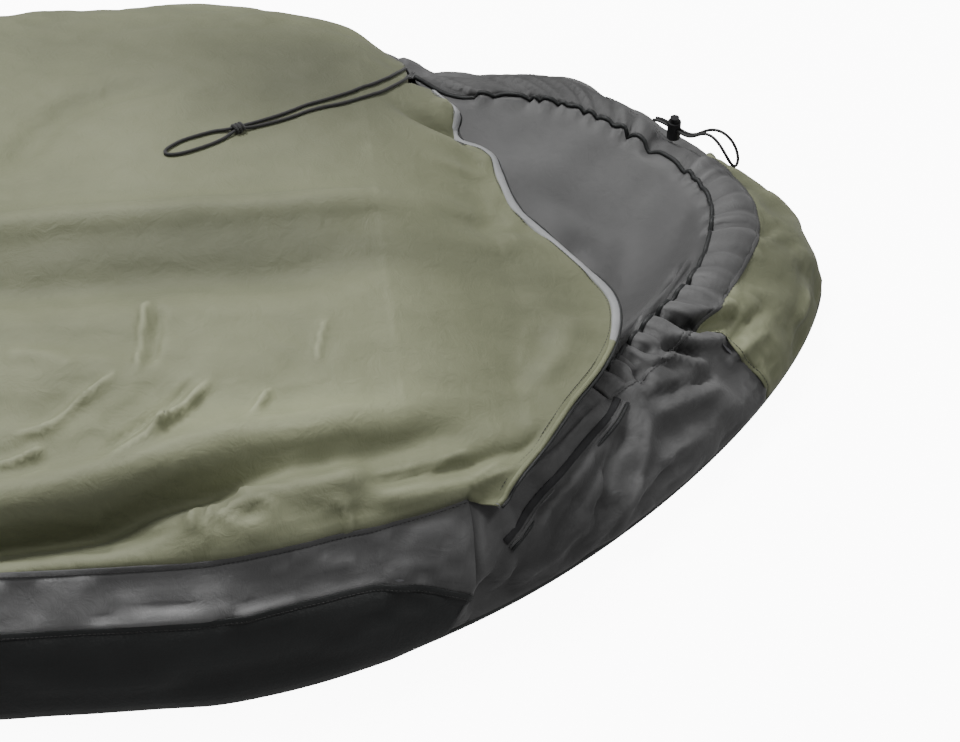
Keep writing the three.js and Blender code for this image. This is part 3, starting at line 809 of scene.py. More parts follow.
def ribbon(name, line, out, width, height, material, inset=0.0):
    """A flat band along a line, `out` pointing up from the cloth: a closed, slightly crowned strip."""
    across = sideways(line, out)
    up = np.cross(across, unit(np.gradient(line, axis=0)))
    rings = [line + across * (a * width) + up * (b * height - inset) for a, b in BAND_PROFILE]
    return swept(name, np.stack(rings, axis=1), [material])


def swept(name, rings, materials, body="sack", shades=None):
    """A closed tube through rings of points, with flat ends."""
    rows, sides = rings.shape[:2]
    index = np.arange(rows * sides).reshape(rows, sides)
    nxt = np.roll(index, -1, axis=1)
    faces = np.stack([index[:-1], nxt[:-1], nxt[1:], index[1:]], axis=-1).reshape(-1, 4)
    run = run_of(rings.mean(1)) * MM
    round_it = np.linalg.norm(rings - np.roll(rings, -1, axis=1), axis=2).mean(0).cumsum() * MM
    a, b = np.meshgrid(run, np.concatenate([[0], round_it]), indexing="ij")
    grid = np.stack([a, b], axis=-1)
    uv = np.stack([grid[:-1, :-1], grid[:-1, 1:], grid[1:, 1:], grid[1:, :-1]], axis=2).reshape(-1, 4, 2)
    ends = [index[0][::-1].tolist(), index[-1].tolist()]
    signed = np.cross(rings[:-1, 0] - rings[:-1].mean(1), rings[:-1, 1] - rings[:-1].mean(1))
    if (signed * np.diff(rings.mean(1), axis=0)).sum() < 0:
        faces, uv, ends = faces[:, ::-1], uv[:, ::-1], [end[::-1] for end in ends]
    uv = np.vstack([uv.reshape(-1, 2), np.zeros((2 * sides, 2))])
    return new_piece(name, rings.reshape(-1, 3), faces.tolist() + ends, uv, materials, shades, body=body)


def rings_round(line, a, b, radius, sides):
    turn = np.linspace(0, 2 * math.pi, sides, endpoint=False)[:, None]
    return line[:, None] + radius * (a * np.cos(turn) + b * np.sin(turn))


def frame_along(line):
    """Two directions across a line that turn with it smoothly."""
    way = unit(np.gradient(line, axis=0))
    side = np.cross(way[0], [0.1, 0.2, 1.0])
    sides = []
    for w in way:
        side = unit(side - w * (side @ w))
        sides.append(side)
    return np.array(sides), np.cross(way, sides)


def tube(name, line, radius, material, body="sack", sides=10):
    a, b = frame_along(line)
    return swept(name, rings_round(line, a[:, None], b[:, None], radius, sides), [material], body)


def refine(line, step):
    """The smooth curve through a line's points, with points about step apart."""
    curve = Curve(line, per=16)
    count = max(3, int(round(curve.length / step)) + 1)
    return curve.at_length(np.linspace(0, 1, count))


def free_cord(name, line):
    """A curve piece with a round section, as a free cord is made."""
    data = bpy.data.curves.new(name, "CURVE")
    data.dimensions = "3D"
    data.bevel_depth = CORD_R * MM
    data.bevel_resolution = 4
    spline = data.splines.new("POLY")
    spline.points.add(len(line) - 1)
    places = np.column_stack([line * MM, np.ones(len(line))])
    spline.points.foreach_set("co", places.astype(np.float32).ravel())
    spline.use_smooth = True
    data.materials.append(M["cord"])
    return attached(add_object(name, data), "sack")


# ---------------------------------------------------------------- shaping the shell
# Folds of the cloth: height and half width, then the places that each runs through, as forward and
# left-right (top) or forward and height (left wall, hood). A height below zero is a hollow.
TOP_FOLDS = [
    (12, 18, [(80, -40), (300, -48), (473, -45), (626, -42), (770, -14)]),  # long step over the middle
    (-13, 26, [(80, -112), (300, -116), (475, -117), (622, -116), (731, -92)]),
    (-8, 20, [(374, 17), (415, 97), (458, 135), (539, 163)]),
    (6.0, 4, [(497, -130), (492, -177), (486, -222)]),  # short creases of the near slope
    (-5, 4, [(508, -150), (503, -190), (496, -215)]),
    (6.0, 4, [(413, -138), (428, -129), (443, -127)]),
    (3.0, 9, [(380, -190), (412, -195), (443, -213)]),
    (9, 5, [(472, -213), (461, -229), (437, -247), (416, -265), (388, -267)]),
    (10, 4.5, [(546, -228), (522, -256), (503, -267), (492, -282), (464, -297), (454, -308)]),
    (-6, 4, [(534, -226), (510, -250), (488, -266), (452, -290)]),
    (8.5, 4, [(506, -254), (501, -278), (482, -288), (454, -309)]),
    (8, 4, [(416, -279), (394, -290), (370, -296)]),
    (-4, 4, [(420, -290), (396, -302), (372, -308)]),
    (8.5, 4, [(552, -291), (524, -298), (506, -307)]),
    (7.5, 4, [(590, -240), (578, -262), (566, -282)]),
    (4, 4, [(640, -170), (632, -196), (628, -222)]),
    (9, 16, [(130, -322), (300, -326), (390, -318), (463, -303), (525, -294), (556, -284), (610, -280),
             (682, -261), (740, -244)]),
    (-30, 13, [(130, -346), (300, -352), (390, -347), (450, -342), (490, -332), (540, -323), (585, -315),
               (640, -306)]),
    (-9, 12, [(600, -312), (650, -300), (700, -284), (745, -262)]),
    (-16, 12, [(320, -362), (400, -355), (470, -351), (520, -346)]),
    (9, 14, [(548, -338), (572, -326), (620, -322), (665, -312)]),
    (4.5, 5, [(552, -326), (596, -330), (634, -334), (655, -330)]),
    (5, 6.5, [(650, -330), (707, -315), (751, -300), (785, -278)]),
    (-4, 6, [(660, -319), (707, -304), (745, -288)]),
    (4.0, 5, [(702, -310), (726, -292), (747, -286)]),
    (-3.5, 4, [(640, -307), (657, -296)]),
    (-3.5, 4, [(667, -301), (697, -285)]),
    (3.0, 4, [(655, -305), (680, -288)]),
    (7, 6, [(548, -322), (527, -338), (524, -357)]),  # round the bunched edge
    (6, 4, [(545, -356), (549, -343), (564, -337), (581, -338), (591, -350)]),
    (-5, 3.5, [(540, -358), (544, -341), (562, -333), (583, -334), (596, -347)]),
    (6, 4, [(534, -361), (538, -339), (559, -330), (585, -331), (600, -345)]),
    (-5, 4, [(529, -358), (534, -336), (559, -325), (590, -326)]),
    (5, 4, [(606, -330), (629, -332), (643, -341), (638, -356)]),
    (3.5, 4, [(430, -352), (436, -358), (438, -366)]),
    (-3.5, 4, [(424, -352), (429, -358), (432, -366)]),
    (-7, 8, [(660, -322), (708, -307), (741, -296), (770, -286), (794, -274), (812, -250)]),
    (5, 6, [(660, -333), (708, -320), (741, -309), (770, -299), (790, -290)]),
    (4, 12, [(800, -215), (830, -180), (845, -130)]),  # the flap's slack front
    (-3, 10, [(775, -225), (805, -195), (822, -150)]),
    (3, 10, [(760, -70), (790, -60), (818, -40)]),
    (-3, 9, [(757, -45), (785, -30), (806, -14)]),
    (3, 9, [(740, 40), (775, 38), (800, 36)]),
    (8, 8, [(757, 146), (782, 128), (806, 110)]),
    (-22, 12, [(740, 112), (768, 104), (796, 94)]),
    (4, 9, [(742, 82), (776, 70), (810, 56)]),
]
SWIRL_AT, SWIRL_OVAL = (568, -349), (0.85, 1.5)  # where the edge of the top is bunched
SWELL, SWELL_REACH, RING_HEIGHT, EYE_DEPTH, EYE_REACH = 7, (34, 34 / 1.5), 2.0, 7, 8
RING_PITCH, RING_TWIST, RINGS_FADE, RINGS_FROM = 2.7, 0.5, 27, (5, 12)
RINGS_TURN, RINGS_UPPER = 0.5, (-0.75, 0.3)
WALL_FOLDS = [
    (-7, 3.5, [(435, 104), (481, 108), (535, 109)]),
    (4, 5, [(440, 97), (486, 100), (540, 101), (590, 101)]),
    (-7, 3.5, [(528, 95), (551, 103), (590, 106), (640, 105)]),
    (5, 5, [(545, 90), (570, 96), (600, 98)]),
    (-7, 4, [(600, 108), (628, 104), (660, 96)]),
    (5, 5, [(616, 118), (636, 112), (657, 104), (675, 108)]),
    (-7, 3.5, [(650, 88), (690, 83), (738, 79)]),
    (5, 7, [(660, 94), (702, 90), (738, 84)]),
    (-6, 5, [(665, 76), (702, 71), (738, 63)]),
    (6, 6, [(678, 111), (719, 102), (738, 95)]),
    (-5, 6, [(620, 62), (680, 66), (738, 58)]),
    (3, 9, [(360, 60), (440, 50), (520, 56)]),
    (-3, 10, [(480, 40), (570, 46), (640, 36)]),
]
HOOD_FOLDS = [
    (-9, 7, [(885, -198, 88), (878, -227, 79), (860, -264, 64), (845, -296, 33)]),
    (7, 8, [(899, -198, 83), (894, -235, 65), (879, -268, 41), (862, -292, 16)]),
    (8, 6, [(857, -241, 82), (831, -271, 78), (802, -302, 71), (781, -326, 58)]),
    (-8, 6, [(866, -238, 78), (842, -272, 70), (815, -303, 58), (790, -330, 40)]),
    (-6, 6, [(939, -219, 40), (909, -246, 40), (862, -285, 28), (828, -308, 14)]),
    (5, 6, [(948, -208, 48), (915, -236, 50), (872, -274, 38), (838, -304, 22)]),
    (-14, 5, [(900, -196, 84), (942, -173, 75), (978, -152, 67)]),
    (7, 6, [(906, -206, 76), (946, -182, 67), (978, -162, 58)]),
    (-6, 9, [(902, -226, 62), (942, -198, 56), (966, -176, 50)]),
    (-7, 6, [(762, -331, 66), (743, -352, 44), (736, -360, 26)]),
    (6, 7, [(775, -326, 62), (760, -348, 42), (752, -358, 22)]),
    (6, 7, [(760, -352, 34), (810, -315, 44), (850, -280, 52)]),
    (-10, 6, [(1035, -77, 69), (1003, -109, 74), (980, -132, 70)]),  # crown
    (7, 6, [(1030, -100, 60), (1003, -126, 66), (980, -145, 64)]),
    (6, 6, [(1082, -35, 49), (1073, -61, 44), (1050, -100, 36)]),
    (-6, 6, [(1068, 28, 70), (1050, 5, 80), (1037, -6, 86)]),
    (4, 9, [(1092, 40, 40), (1078, 60, 56), (1050, 70, 76)]),
    (-5, 9, [(1085, 80, 30), (1060, 110, 48), (1030, 130, 68)]),
    (-22, 6, [(930, -112, 96), (955, -118, 90), (978, -113, 87), (1008, -98, 80)]),  # end of the collar
    (9, 5, [(930, -126, 94), (955, -133, 87), (988, -127, 80)]),
    (8, 6, [(950, -104, 93), (976, -100, 89), (1004, -86, 84)]),
    (10, 6, [(905, -160, 92), (935, -150, 86), (969, -150, 72)]),
    (-17, 5.5, [(900, -150, 94), (932, -142, 88), (965, -141, 76)]),
    (-14, 5.5, [(893, -150, 94), (900, -168, 92), (904, -186, 86)]),
]
COLLAR_PLEATS, PLEAT_UNEVEN, PLEAT_DEPTH = 27, 0.5, (0.35, 1.5)
PLEAT_AT_SEAM, PLEAT_AT_RIM, PLEAT_VALLEY = 1.1, 3.2, 0.17
PLEAT_LEAN, PLEATS_LEAN, PLEAT_GROWTH, PLEAT_DROP = 0.16, (0.66, 0.9), 0.7, 5
COLLAR_PUFF, PUFF_LEAST, PUFF_GROWS, COLLAR_ENDS = 6.5, 0.4, (0.1, 0.4), 0.04
FINE_FOLD = 9  # folds narrower than that are pressed in after the cloth settles
FOLD_ENDS = (-0.02, 0.22)  # the shares of a fold's length over which it runs out
CREASE_PEAK, CREASE_SHARPNESS, CREASE_MOAT, MOAT_WIDE = 1.35, 1.3, 0.35, 2.2  # and a shallow moat beside it


def fold_profile(distance, place, half):
    """A fold's cross section: rounded over its half width, running out at both ends."""
    ends = smoothstep(np.minimum(place, 1 - place), *FOLD_ENDS)
    if half >= FINE_FOLD:
        return np.exp(-((distance / half) ** 2)) * ends
    crease = CREASE_PEAK * np.exp(-((distance / half) ** CREASE_SHARPNESS))
    return (crease - CREASE_MOAT * np.exp(-((distance / half / MOAT_WIDE) ** 2))) * ends


def over_top(places):
    x, y = refine([(a, b, 0) for a, b in places], 12.0)[:, :2].T
    return np.stack([x, y, top_height(x, y)], axis=-1)


def over_left_wall(places):
    x, z = refine([(a, b, 0) for a, b in places], 12.0)[:, :2].T
    walls = [side_face(-1, np.array([a]), np.linspace(0, 1, 40)) for a in x]
    y = np.array([np.interp(b, wall[:, 2], wall[:, 1]) for b, wall in zip(z, walls)])
    return np.stack([x, y, z], axis=-1)


def over_hood(places):
    return refine(places, 10.0)


FOLDS = [  # folds, the grids that they lie in, and how their places are found
    (TOP_FOLDS, ("top", "flap", "gusset_left"), over_top),
    (WALL_FOLDS, ("gusset_left", "tub_left"), over_left_wall),
    (HOOD_FOLDS, ("hood_left", "hood_crown", "collar"), over_hood),
]


def folded(co, folds, route, fine=None):
    """How far the folds move each point: all of them, or only the fine or the broad ones."""
    move = np.zeros(len(co))
    for height, half, places in folds:
        if fine is None or (half < FINE_FOLD) == fine:
            distance, place = stroke_distance(co, route(places))
            move += height * fold_profile(distance, place, half)
    return move


def bunched(co, fine):
    """The edge of the top is bunched up: a swell, and creases that ring its eye on the upper side."""
    off = co[:, :2] - SWIRL_AT
    if not fine:
        return SWELL * near(off, 0, SWELL_REACH)
    off = off * SWIRL_OVAL
    away = np.linalg.norm(off, axis=1)
    angle = np.arctan2(off[:, 1], off[:, 0])
    rings = np.cos(away / RING_PITCH - RING_TWIST * angle) * np.exp(-((away / RINGS_FADE) ** 2))
    rings *= smoothstep(away, *RINGS_FROM)
    rings *= smoothstep(np.sin(angle - RINGS_TURN), *RINGS_UPPER)
    return RING_HEIGHT * rings - EYE_DEPTH * np.exp(-((away / EYE_REACH) ** 2))


def fold_shell(shell, fine):
    """Moves the cloth along its normals by the folds that are laid out above: the broad ones, which lie
    in the cloth before it settles, or the sharp creases that are pressed into it."""
    co = shell.co
    move = np.zeros(len(co))
    for folds, grids, route in FOLDS:
        points = shell.points_of(*grids)
        move[points] += folded(co[points], folds, route, fine)
    upper = shell.points_of(*FOLDS[0][1])
    move[upper] += bunched(co[upper], fine)
    return co + shell.normals() * move[:, None]


def uneven(count, spread):
    """Places from 0 to 1 whose spacing varies, one for each pleat."""
    gaps = np.exp(spread * RNG.normal(0, 1, count))
    return np.concatenate([[0], np.cumsum(gaps) / gaps.sum()])


def pleat(shell):
    """Gathers the collar: flat stretches between sharp valleys, which run from the drawn rim past its
    seam. On the far side the pleats lean over until they run nearly along the rim."""
    co, normals = shell.co, shell.normals()
    grid = shell.grids["collar"]
    rows, columns = grid.shape
    place = np.linspace(0, 1, rows)[:, None]
    t = np.linspace(0, 1, columns)[None]
    lean = PLEAT_LEAN * smoothstep(place, *PLEATS_LEAN) * (t - 0.5)
    knots, order = uneven(COLLAR_PLEATS, PLEAT_UNEVEN), np.arange(COLLAR_PLEATS + 1)
    where = np.interp(place + lean, knots, order)
    depth = np.interp(where, order, RNG.uniform(*PLEAT_DEPTH, COLLAR_PLEATS + 1))
    valleys = 1 - 2.0 * np.exp(-((np.abs((where % 1) - 0.5) - 0.5) / PLEAT_VALLEY) ** 2)
    grow = PLEAT_AT_SEAM + PLEAT_AT_RIM * t**PLEAT_GROWTH
    puff = COLLAR_PUFF * np.sin(math.pi * t) * lerp(PUFF_LEAST, 1, smoothstep(place, *PUFF_GROWS))
    ends = smoothstep(np.minimum(place, 1 - place), 0, COLLAR_ENDS)
    out = co.copy()
    out[grid] += normals[grid] * ((valleys * depth * grow + puff) * ends)[..., None]
    for name in ("hood_left", "hood_crown", "hood_right"):
        below = shell.grids[name]
        moved = out[below[:, -1]] - co[below[:, -1]]
        drop = np.linspace(0, 1, below.shape[1]) ** PLEAT_DROP
        out[below] = co[below] + moved[:, None] * drop[:, None]
    return out


RAISED_CURL, RAISED_MOST = 0.9, 0.55


def raised_share(shell):
    """How much each point stands out from its neighbours, 0 to 1: worn folds are paler."""
    total, count = np.zeros_like(shell.co), np.zeros(len(shell.co))
    q = shell.quads()
    for a, b in ((0, 1), (1, 2), (2, 3), (3, 0)):
        for i, j in ((q[:, a], q[:, b]), (q[:, b], q[:, a])):
            np.add.at(total, i, shell.co[j])
            np.add.at(count, i, 1)
    curl = ((shell.co - total / count[:, None]) * shell.normals()).sum(1)
    return np.clip(curl / RAISED_CURL, 0, 1) * RAISED_MOST


WHOLE, LAST_ROW, LAST_COLUMN = np.s_[:], np.s_[-1], np.s_[:, -1]
FREEDOM = [  # how freely a part of a grid moves: not at all at the ground and the necks, little at the seams
    ("tub", LAST_COLUMN, 0.3), ("tub", np.s_[:, :3], [0, 0.2, 0.6]), ("gusset", LAST_COLUMN, 0.35),
    ("hood_hem", WHOLE, 0), ("collar", WHOLE, np.linspace(0.8, 0.15, COLLAR_ROWS)),
    ("hood_left", np.s_[:2], 0), ("hood_right", np.s_[-2:], 0), ("hood_slit", np.s_[:2], 0),
    ("top", LAST_ROW, 0.5), ("flap", LAST_ROW, 0.2),
]
LOOSENESS = [  # how slack the cloth is cut, beside the top: 0 for taut, 1 for loose
    ("tub", WHOLE, 0.45), ("gusset", WHOLE, 0.8), ("hood_left", WHOLE, 1.0), ("hood_right", WHOLE, 1.0),
    ("hood_crown", WHOLE, 0.9), ("hood_slit", WHOLE, 0.8), ("collar", WHOLE, 0.5), ("flap", WHOLE, 0.45),
]


def spread_over(shell, values, table):
    """Sets the values of the grids whose names start as the table's rows say, each row over the last."""
    for start, part, value in table:
        for name in shell.grids:
            if name.startswith(start):
                values[shell.grids[name][part]] = value
    return values


LOOSE_LEAST, LOOSE_SIDES, LOOSE_SLOPE, LOOSE_HEAD, LOOSE_FOOT = 0.22, 0.55, 0.45, 0.3, 0.35
SIDES_FROM, HEAD_FROM, FOOT_FROM = (0.55, 0.85), (640, 760), (700, 1000)
SLOPE_AT, SLOPE_REACH, SIDES_TO_X = (440, -225), (130, 75), 900


def top_looseness(co):
    """Taut over the loft, loose down its slopes, near the head and at the foot."""
    x, y = co[:, 0], co[:, 1]
    side = smoothstep(np.abs(y) / half_width(np.minimum(x, SIDES_TO_X)), *SIDES_FROM)
    slope = near(co[:, :2], SLOPE_AT, SLOPE_REACH)
    ends = LOOSE_HEAD * smoothstep(x, *HEAD_FROM) + LOOSE_FOOT * smoothstep(-x, *FOOT_FROM)
    return np.minimum(LOOSE_LEAST + LOOSE_SLOPE * slope + LOOSE_SIDES * side + ends, 1)


NUDGES = [  # where the cloth has slumped or filled out: middle, reach and move
    ((765, 290, 85), 70, (0, -12, -6)),
    ((1070, 110, 50), 85, (11, 1, 1)),
    ((1105, -20, 40), 60, (-9, 0, 0)),
    ((500, 330, 140), 190, (0, -6, -9)),
    ((700, 300, 120), 55, (0, 3, 2)),
    ((900, 215, 90), 90, (0, 7, 10)),
    ((806, 108, 148), 24, (-26, 6, -8)),
    ((987, 137, 98), 30, (0, 0, -12)),
]


def nudge(co):
    rise = smoothstep(co[:, 2], 4, 30)
    moves = (np.outer(near(co, middle, reach) * rise, move) for middle, reach, move in NUDGES)
    return co + sum(moves)


NECK_ROWS, NECK_ROUNDS, NECK_STEP = 12, 60, 0.8


def even_out_neck(shell):
    """The flap runs on from the top without a step: the cloth across the hinge is smoothed."""
    co = shell.co.copy()
    flap = shell.grids["flap"]
    shared = np.isin(shell.grids["top"][-1], flap[0])
    rows = np.vstack([shell.grids["top"][-NECK_ROWS:, shared], flap[1:NECK_ROWS]])
    across = np.linspace(0, 1, rows.shape[1])
    inner = smoothstep(np.minimum(across, 1 - across), 0, 0.05)
    weight = (np.sin(np.linspace(0, math.pi, len(rows)))[:, None] ** 0.5 * inner)[..., None]
    for _ in range(NECK_ROUNDS):
        z = co[rows]
        mean = z.copy()
        mean[1:-1] = (z[:-2] + z[2:]) / 2
        co[rows] = lerp(z, mean, NECK_STEP * weight)
    return co


LOWEST = 0.8  # the cloth's own thickness above the ground


def shape_shell():
    shell = build_shell()
    shell.co = nudge(fold_shell(shell, fine=False))
    free = spread_over(shell, np.ones(len(shell.co)), FREEDOM)
    slack = spread_over(shell, top_looseness(shell.co), LOOSENESS)
    shell.co = simulate(shell, free, slack)
    shell.co = even_out_neck(shell)
    shell.co = pleat(shell)
    shell.co = fold_shell(shell, fine=True)
    shell.co[:, 2] = np.maximum(shell.co[:, 2], LOWEST)
    shell.raised = raised_share(shell)
    return shell


def clean_line(grid, row=None, column=None, step=6.0):
    """A row or column of a grid as an evenly spaced line, with the cloth's outward directions along it."""
    index = shell.grids[grid][row] if row is not None else shell.grids[grid][:, column]
    line = shell.co[index]
    run = run_of(line)
    at = np.linspace(0, run[-1], max(3, int(run[-1] / step)))
    return sample(line, run, at), unit(sample(outward[index], run, at))


# ---------------------------------------------------------------- the panels
make_camera()
make_stage()
shell = shape_shell()
outward = shell.normals()

PANELS = {  # piece: its grids, cloth, the nodes it stands for, and the cut's width, length and area in metres
    "tub_left": (["tub_left"], "black", ["tub_wall_left"], (0.115, 1.72, 0.168)),
    "tub_right": (["tub_right"], "black", ["tub_wall_right"], (0.115, 1.72, 0.168)),
    "tub_foot": (["tub_foot"], "black", ["tub_wall_foot"], (0.09, 0.83, 0.07)),
    "gusset_left": (["gusset_left"], "grey", ["side_gusset_left"], (0.055, 1.72, 0.081)),
    "gusset_right": (["gusset_right"], "grey", ["side_gusset_right"], (0.055, 1.72, 0.085)),
    "gusset_foot": (["gusset_foot"], "grey", ["foot_gusset"], (0.045, 0.75, 0.03)),
    "hood_hem_band": (["hood_hem"], "black", ["hood_hem"], (0.025, 1.12, 0.026)),
    "hood_left": (["hood_left", "hood_slit"], "grey", ["hood_side_left"], (0.13, 0.42, 0.041)),
    "hood_right": (["hood_right"], "grey", ["hood_side_right"], (0.12, 0.38, 0.035)),
    "hood_top": (["hood_crown"], "olive", ["hood_crown"], (0.12, 0.34, 0.032)),
    "collar": (["collar"], "grey", ["hood_collar"], (0.055, 0.70, 0.030)),
    "top_shell": (["top", "flap"], "olive", ["top_panel", "entry_flap"], (0.80, 1.98, 1.33)),
}


def make_panels():
    for name, (grids, material, nodes, (width, length, area)) in PANELS.items():
        blended = name == "top_shell"
        piece = cloth_piece(name, grids, material, None if blended else "sack")
        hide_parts(*nodes)
        if blended:
            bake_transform(piece)


# ---------------------------------------------------------------- floor and the inside of the hood
FLOOR_STATIONS = [[FOOT_X + 20, 16], [600, 14], [700, 9], [HEAD_X - 26, 9]]
FLOOR_COLUMNS, FLOOR_TIP = 61, 14.0
FLOOR_WAVES = ((61, 83, 0), (37, -49, 1.3), (113, 29, 0))
FLOOR_LOW, FLOOR_RISE, FLOOR_RUMPLE = 1.8, 4.0, 3.0
FLOOR_FREE, FLOOR_HEAD_FREE = 0.35, (30, 120)  # where it may rise, from the sides and from the head


def floor_sheet():
    """The black floor with its coated upper face, a little rumpled where nothing lies on it."""
    x = graded(FLOOR_STATIONS)
    v = np.linspace(-1, 1, FLOOR_COLUMNS)
    half = half_width(x) - FLOOR_INSET
    foot = x < CORNER_X
    angle = np.arccos(np.clip((CORNER_X - x[foot]) / (FOOT_CORNER - FLOOR_INSET), 0, 1) ** (1 / FOOT_ROUND))
    half[foot] = (half_width(CORNER_X) - FLOOR_INSET) * np.sin(angle) ** FOOT_ROUND
    half = np.maximum(half, FLOOR_TIP)
    xx, vv = np.meshgrid(x, v, indexing="ij")
    y = vv * half[:, None]
    rumple = sum(np.sin(xx / a + y / b + c) for a, b, c in FLOOR_WAVES) / len(FLOOR_WAVES)
    room = smoothstep(1 - np.abs(vv), 0.0, FLOOR_FREE) * smoothstep(HEAD_X - xx, *FLOOR_HEAD_FREE)
    points = np.stack([xx, y, FLOOR_LOW + room * (FLOOR_RISE + FLOOR_RUMPLE * rumple)], axis=-1)
    piece = grid_piece("floor_sheet", points, ["inside", "black"], FLOOR_THICK)
    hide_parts("floor_panel")


def grid_piece(name, points, materials, thickness, body="sack"):
    """A sheet through a grid of points: the first material on the side that its columns turn to."""
    uv = metric(points) * MM
    index = np.arange(points[..., 0].size).reshape(points.shape[:2])
    faces, corners = cells(index).reshape(-1, 4), cells(uv).reshape(-1, 2)
    piece = new_piece(name, points.reshape(-1, 3), faces, corners, materials, body=body)
    thicken(piece, thickness, inner=len(materials) - 1)
    return piece


LINING_FOLDS = [  # height, half width, and the places on the lining that each runs through
    (12, 6, [(975, -20), (955, -58), (925, -92), (900, -124)]),
    (-12, 5, [(968, -18), (946, -54), (915, -86), (890, -114)]),
    (9, 5, [(1000, -16), (975, -52), (945, -90), (925, -118)]),
    (-9, 5, [(990, -10), (965, -50), (935, -88), (915, -116)]),
    (-4, 16, [(905, 60), (860, 40), (820, 45)]),
    (5, 22, [(880, 95), (850, 60), (835, 20)]),
    (-4, 9, [(800, 60), (830, 20), (850, -25)]),
    (3, 14, [(930, 60), (915, 0), (895, -50)]),
]
LINING_REACH, LINING_FALL, LINING_LOW, LINING_BELOW = 46, 1.15, 11.0, 1.7
LINING_EVEN, LINING_MIDDLE = 14, ((670, 885), (-90, 60))
LINING_LETS_GO, LINING_FREE = 0.07, 0.12  # where it leaves the rim's pleats and hangs free
LINING_RUMPLE, LINING_WAVES = 0.9, (26, 40, 130, 0.2)


def hood_lining():
    """The coated inside of the hood, slumped inwards from the rim to the floor."""
    edge = np.concatenate([shell.grids["hood_slit"][:-1, -1], shell.grids["collar"][:, -1]])
    top = shell.co[edge] - outward[edge] * LINING_BELOW
    s = np.linspace(0, 1, len(edge))
    even = np.pad(top, ((LINING_EVEN, LINING_EVEN), (0, 0)), mode="edge")
    span = 2 * LINING_EVEN + 1
    even = np.stack([np.convolve(c, np.full(span, 1 / span), mode="valid") for c in even.T], axis=1)
    (back, front), (left, right) = LINING_MIDDLE
    middle = np.stack([lerp(back, front, np.sin(math.pi * s) ** 0.8), lerp(left, right, s)], axis=-1)
    r = np.linspace(0, 1, LINING_REACH)[None, :, None]
    top = lerp(top[:, None], even[:, None], smoothstep(r, 0, LINING_LETS_GO))
    flat = lerp(top[..., :2], middle[:, None], r)
    z = LINING_LOW + (top[..., 2:] - LINING_LOW) * (1 - r) ** LINING_FALL
    points = lifted(flat, z[..., 0])
    co = points.reshape(-1, 3)
    move = folded(co * [1, 1, 0], LINING_FOLDS, lambda places: refine([(a, b, 0) for a, b in places], 8.0))
    inner = smoothstep(r[0, :, 0], 0, LINING_FREE)[None] * np.ones(len(s))[:, None]
    co = co + np.outer((move + LINING_RUMPLE * ripple(co, *LINING_WAVES)) * inner.ravel(), [0, 0, 1])
    co[:, 2] = np.maximum(co[:, 2], LINING_LOW)
    points = co.reshape(points.shape)
    piece = grid_piece("hood_lining", points[:, ::-1], ["inside"], LINING_THICK)


# ---------------------------------------------------------------- edges, seams, tapes and closure
HEM_PROFILE = [  # outwards and upwards from the edge that it wraps
    (-5.2, -2.1), (-5.4, -0.2), (-5.2, 0.9), (-2.5, 1.5), (0.6, 1.3), (2.2, 0.1), (2.3, -1.3), (0.8, -2.8),
    (-2.5, -3.0)]
DARK_EDGE_R, DARK_EDGE_OUT, DARK_EDGE_DOWN, HEM_STITCHES_IN = 1.25, 3.1, 0.9, 6.6
RIM_R, RIM_DOWN = 2.3, 0.6
HEM_ROLLED, HEM_TURNED = 0.55, 0.36  # up to that share of its length, its olive side shows and it is narrower


def flap_hem():
    """The flap's pale hem, and a thin dark tube along its outer edge; the part's own hem and drawcord are
    hidden.
    """
    edge, up = clean_line("flap", row=-1, step=5.0)
    out = np.cross(unit(np.gradient(edge, axis=0)), up)
    out *= np.sign(out[:, 0].sum())
    turned = smoothstep(np.linspace(0, 1, len(edge)), HEM_TURNED - 0.03, HEM_TURNED + 0.03)
    wide = lerp(HEM_ROLLED, 1.0, turned)
    rings = np.stack([edge + out * wide[:, None] * a + up * b for a, b in HEM_PROFILE], axis=1)
    sides, cells_along = len(HEM_PROFILE), len(edge) - 1
    shades = np.arange(cells_along * sides + 2) < int(HEM_TURNED * cells_along) * sides
    hem = swept("flap_hem_band", rings, ["hem", "olive"], "flap", shades)
    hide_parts("flap_hem", "flap_drawcord")
    # a thin dark tube along the hem's outer edge
    tube("flap_dark_edge_tube", edge + out * DARK_EDGE_OUT - up * DARK_EDGE_DOWN, DARK_EDGE_R, "black", body="flap", sides=8)
    stitches("flap_hem_stitches", edge - out * HEM_STITCHES_IN, up, body="flap")


def collar_rim():
    """The narrow black channel at the collar's edge; the part's channel and drawcord are hidden."""
    line, up = clean_line("collar", column=-1, step=4.0)
    channel = tube("rim_channel", line - up * RIM_DOWN, RIM_R, "black", sides=12)
    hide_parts("collar_cord_channel", "collar_drawcord")


STITCH, STITCH_PITCH, STITCH_R, STITCH_SIDES, FIRST_STITCH = 2.4, 3.6, 0.32, 6, 0.6
STITCH_STEPS, STITCH_HIGH = [0, 0.18, 0.82, 1], [-0.8, 0.25, 0.25, -0.8]  # its ends dive into the cloth


def stitches(name, line, up, body="sack", lift=0.15):
    """A row of single stitches that lie on the cloth."""
    run = run_of(line)
    points, faces = [], []
    for start in np.arange(FIRST_STITCH, run[-1] - STITCH, STITCH_PITCH):
        at = start + np.array(STITCH_STEPS) * STITCH
        middle, high = sample(line, run, at), sample(up, run, at)
        middle += high * (lift + STITCH_R * np.array(STITCH_HIGH))[:, None]
        across = unit(np.cross(middle[-1] - middle[0], high[0]))
        base = len(points) * 4 * STITCH_SIDES
        points.append(rings_round(middle, across, high[:, None], STITCH_R, STITCH_SIDES).reshape(-1, 3))
        for ring in range(3):
            for j in range(STITCH_SIDES):
                a, b = (base + STITCH_SIDES * ring + (j + i) % STITCH_SIDES for i in (0, 1))
                faces.append((a, b, b + STITCH_SIDES, a + STITCH_SIDES))
    co = np.vstack(points)
    return new_piece(name, co, faces, co[np.array(faces).ravel(), :2] * MM, ["thread"], body=body)


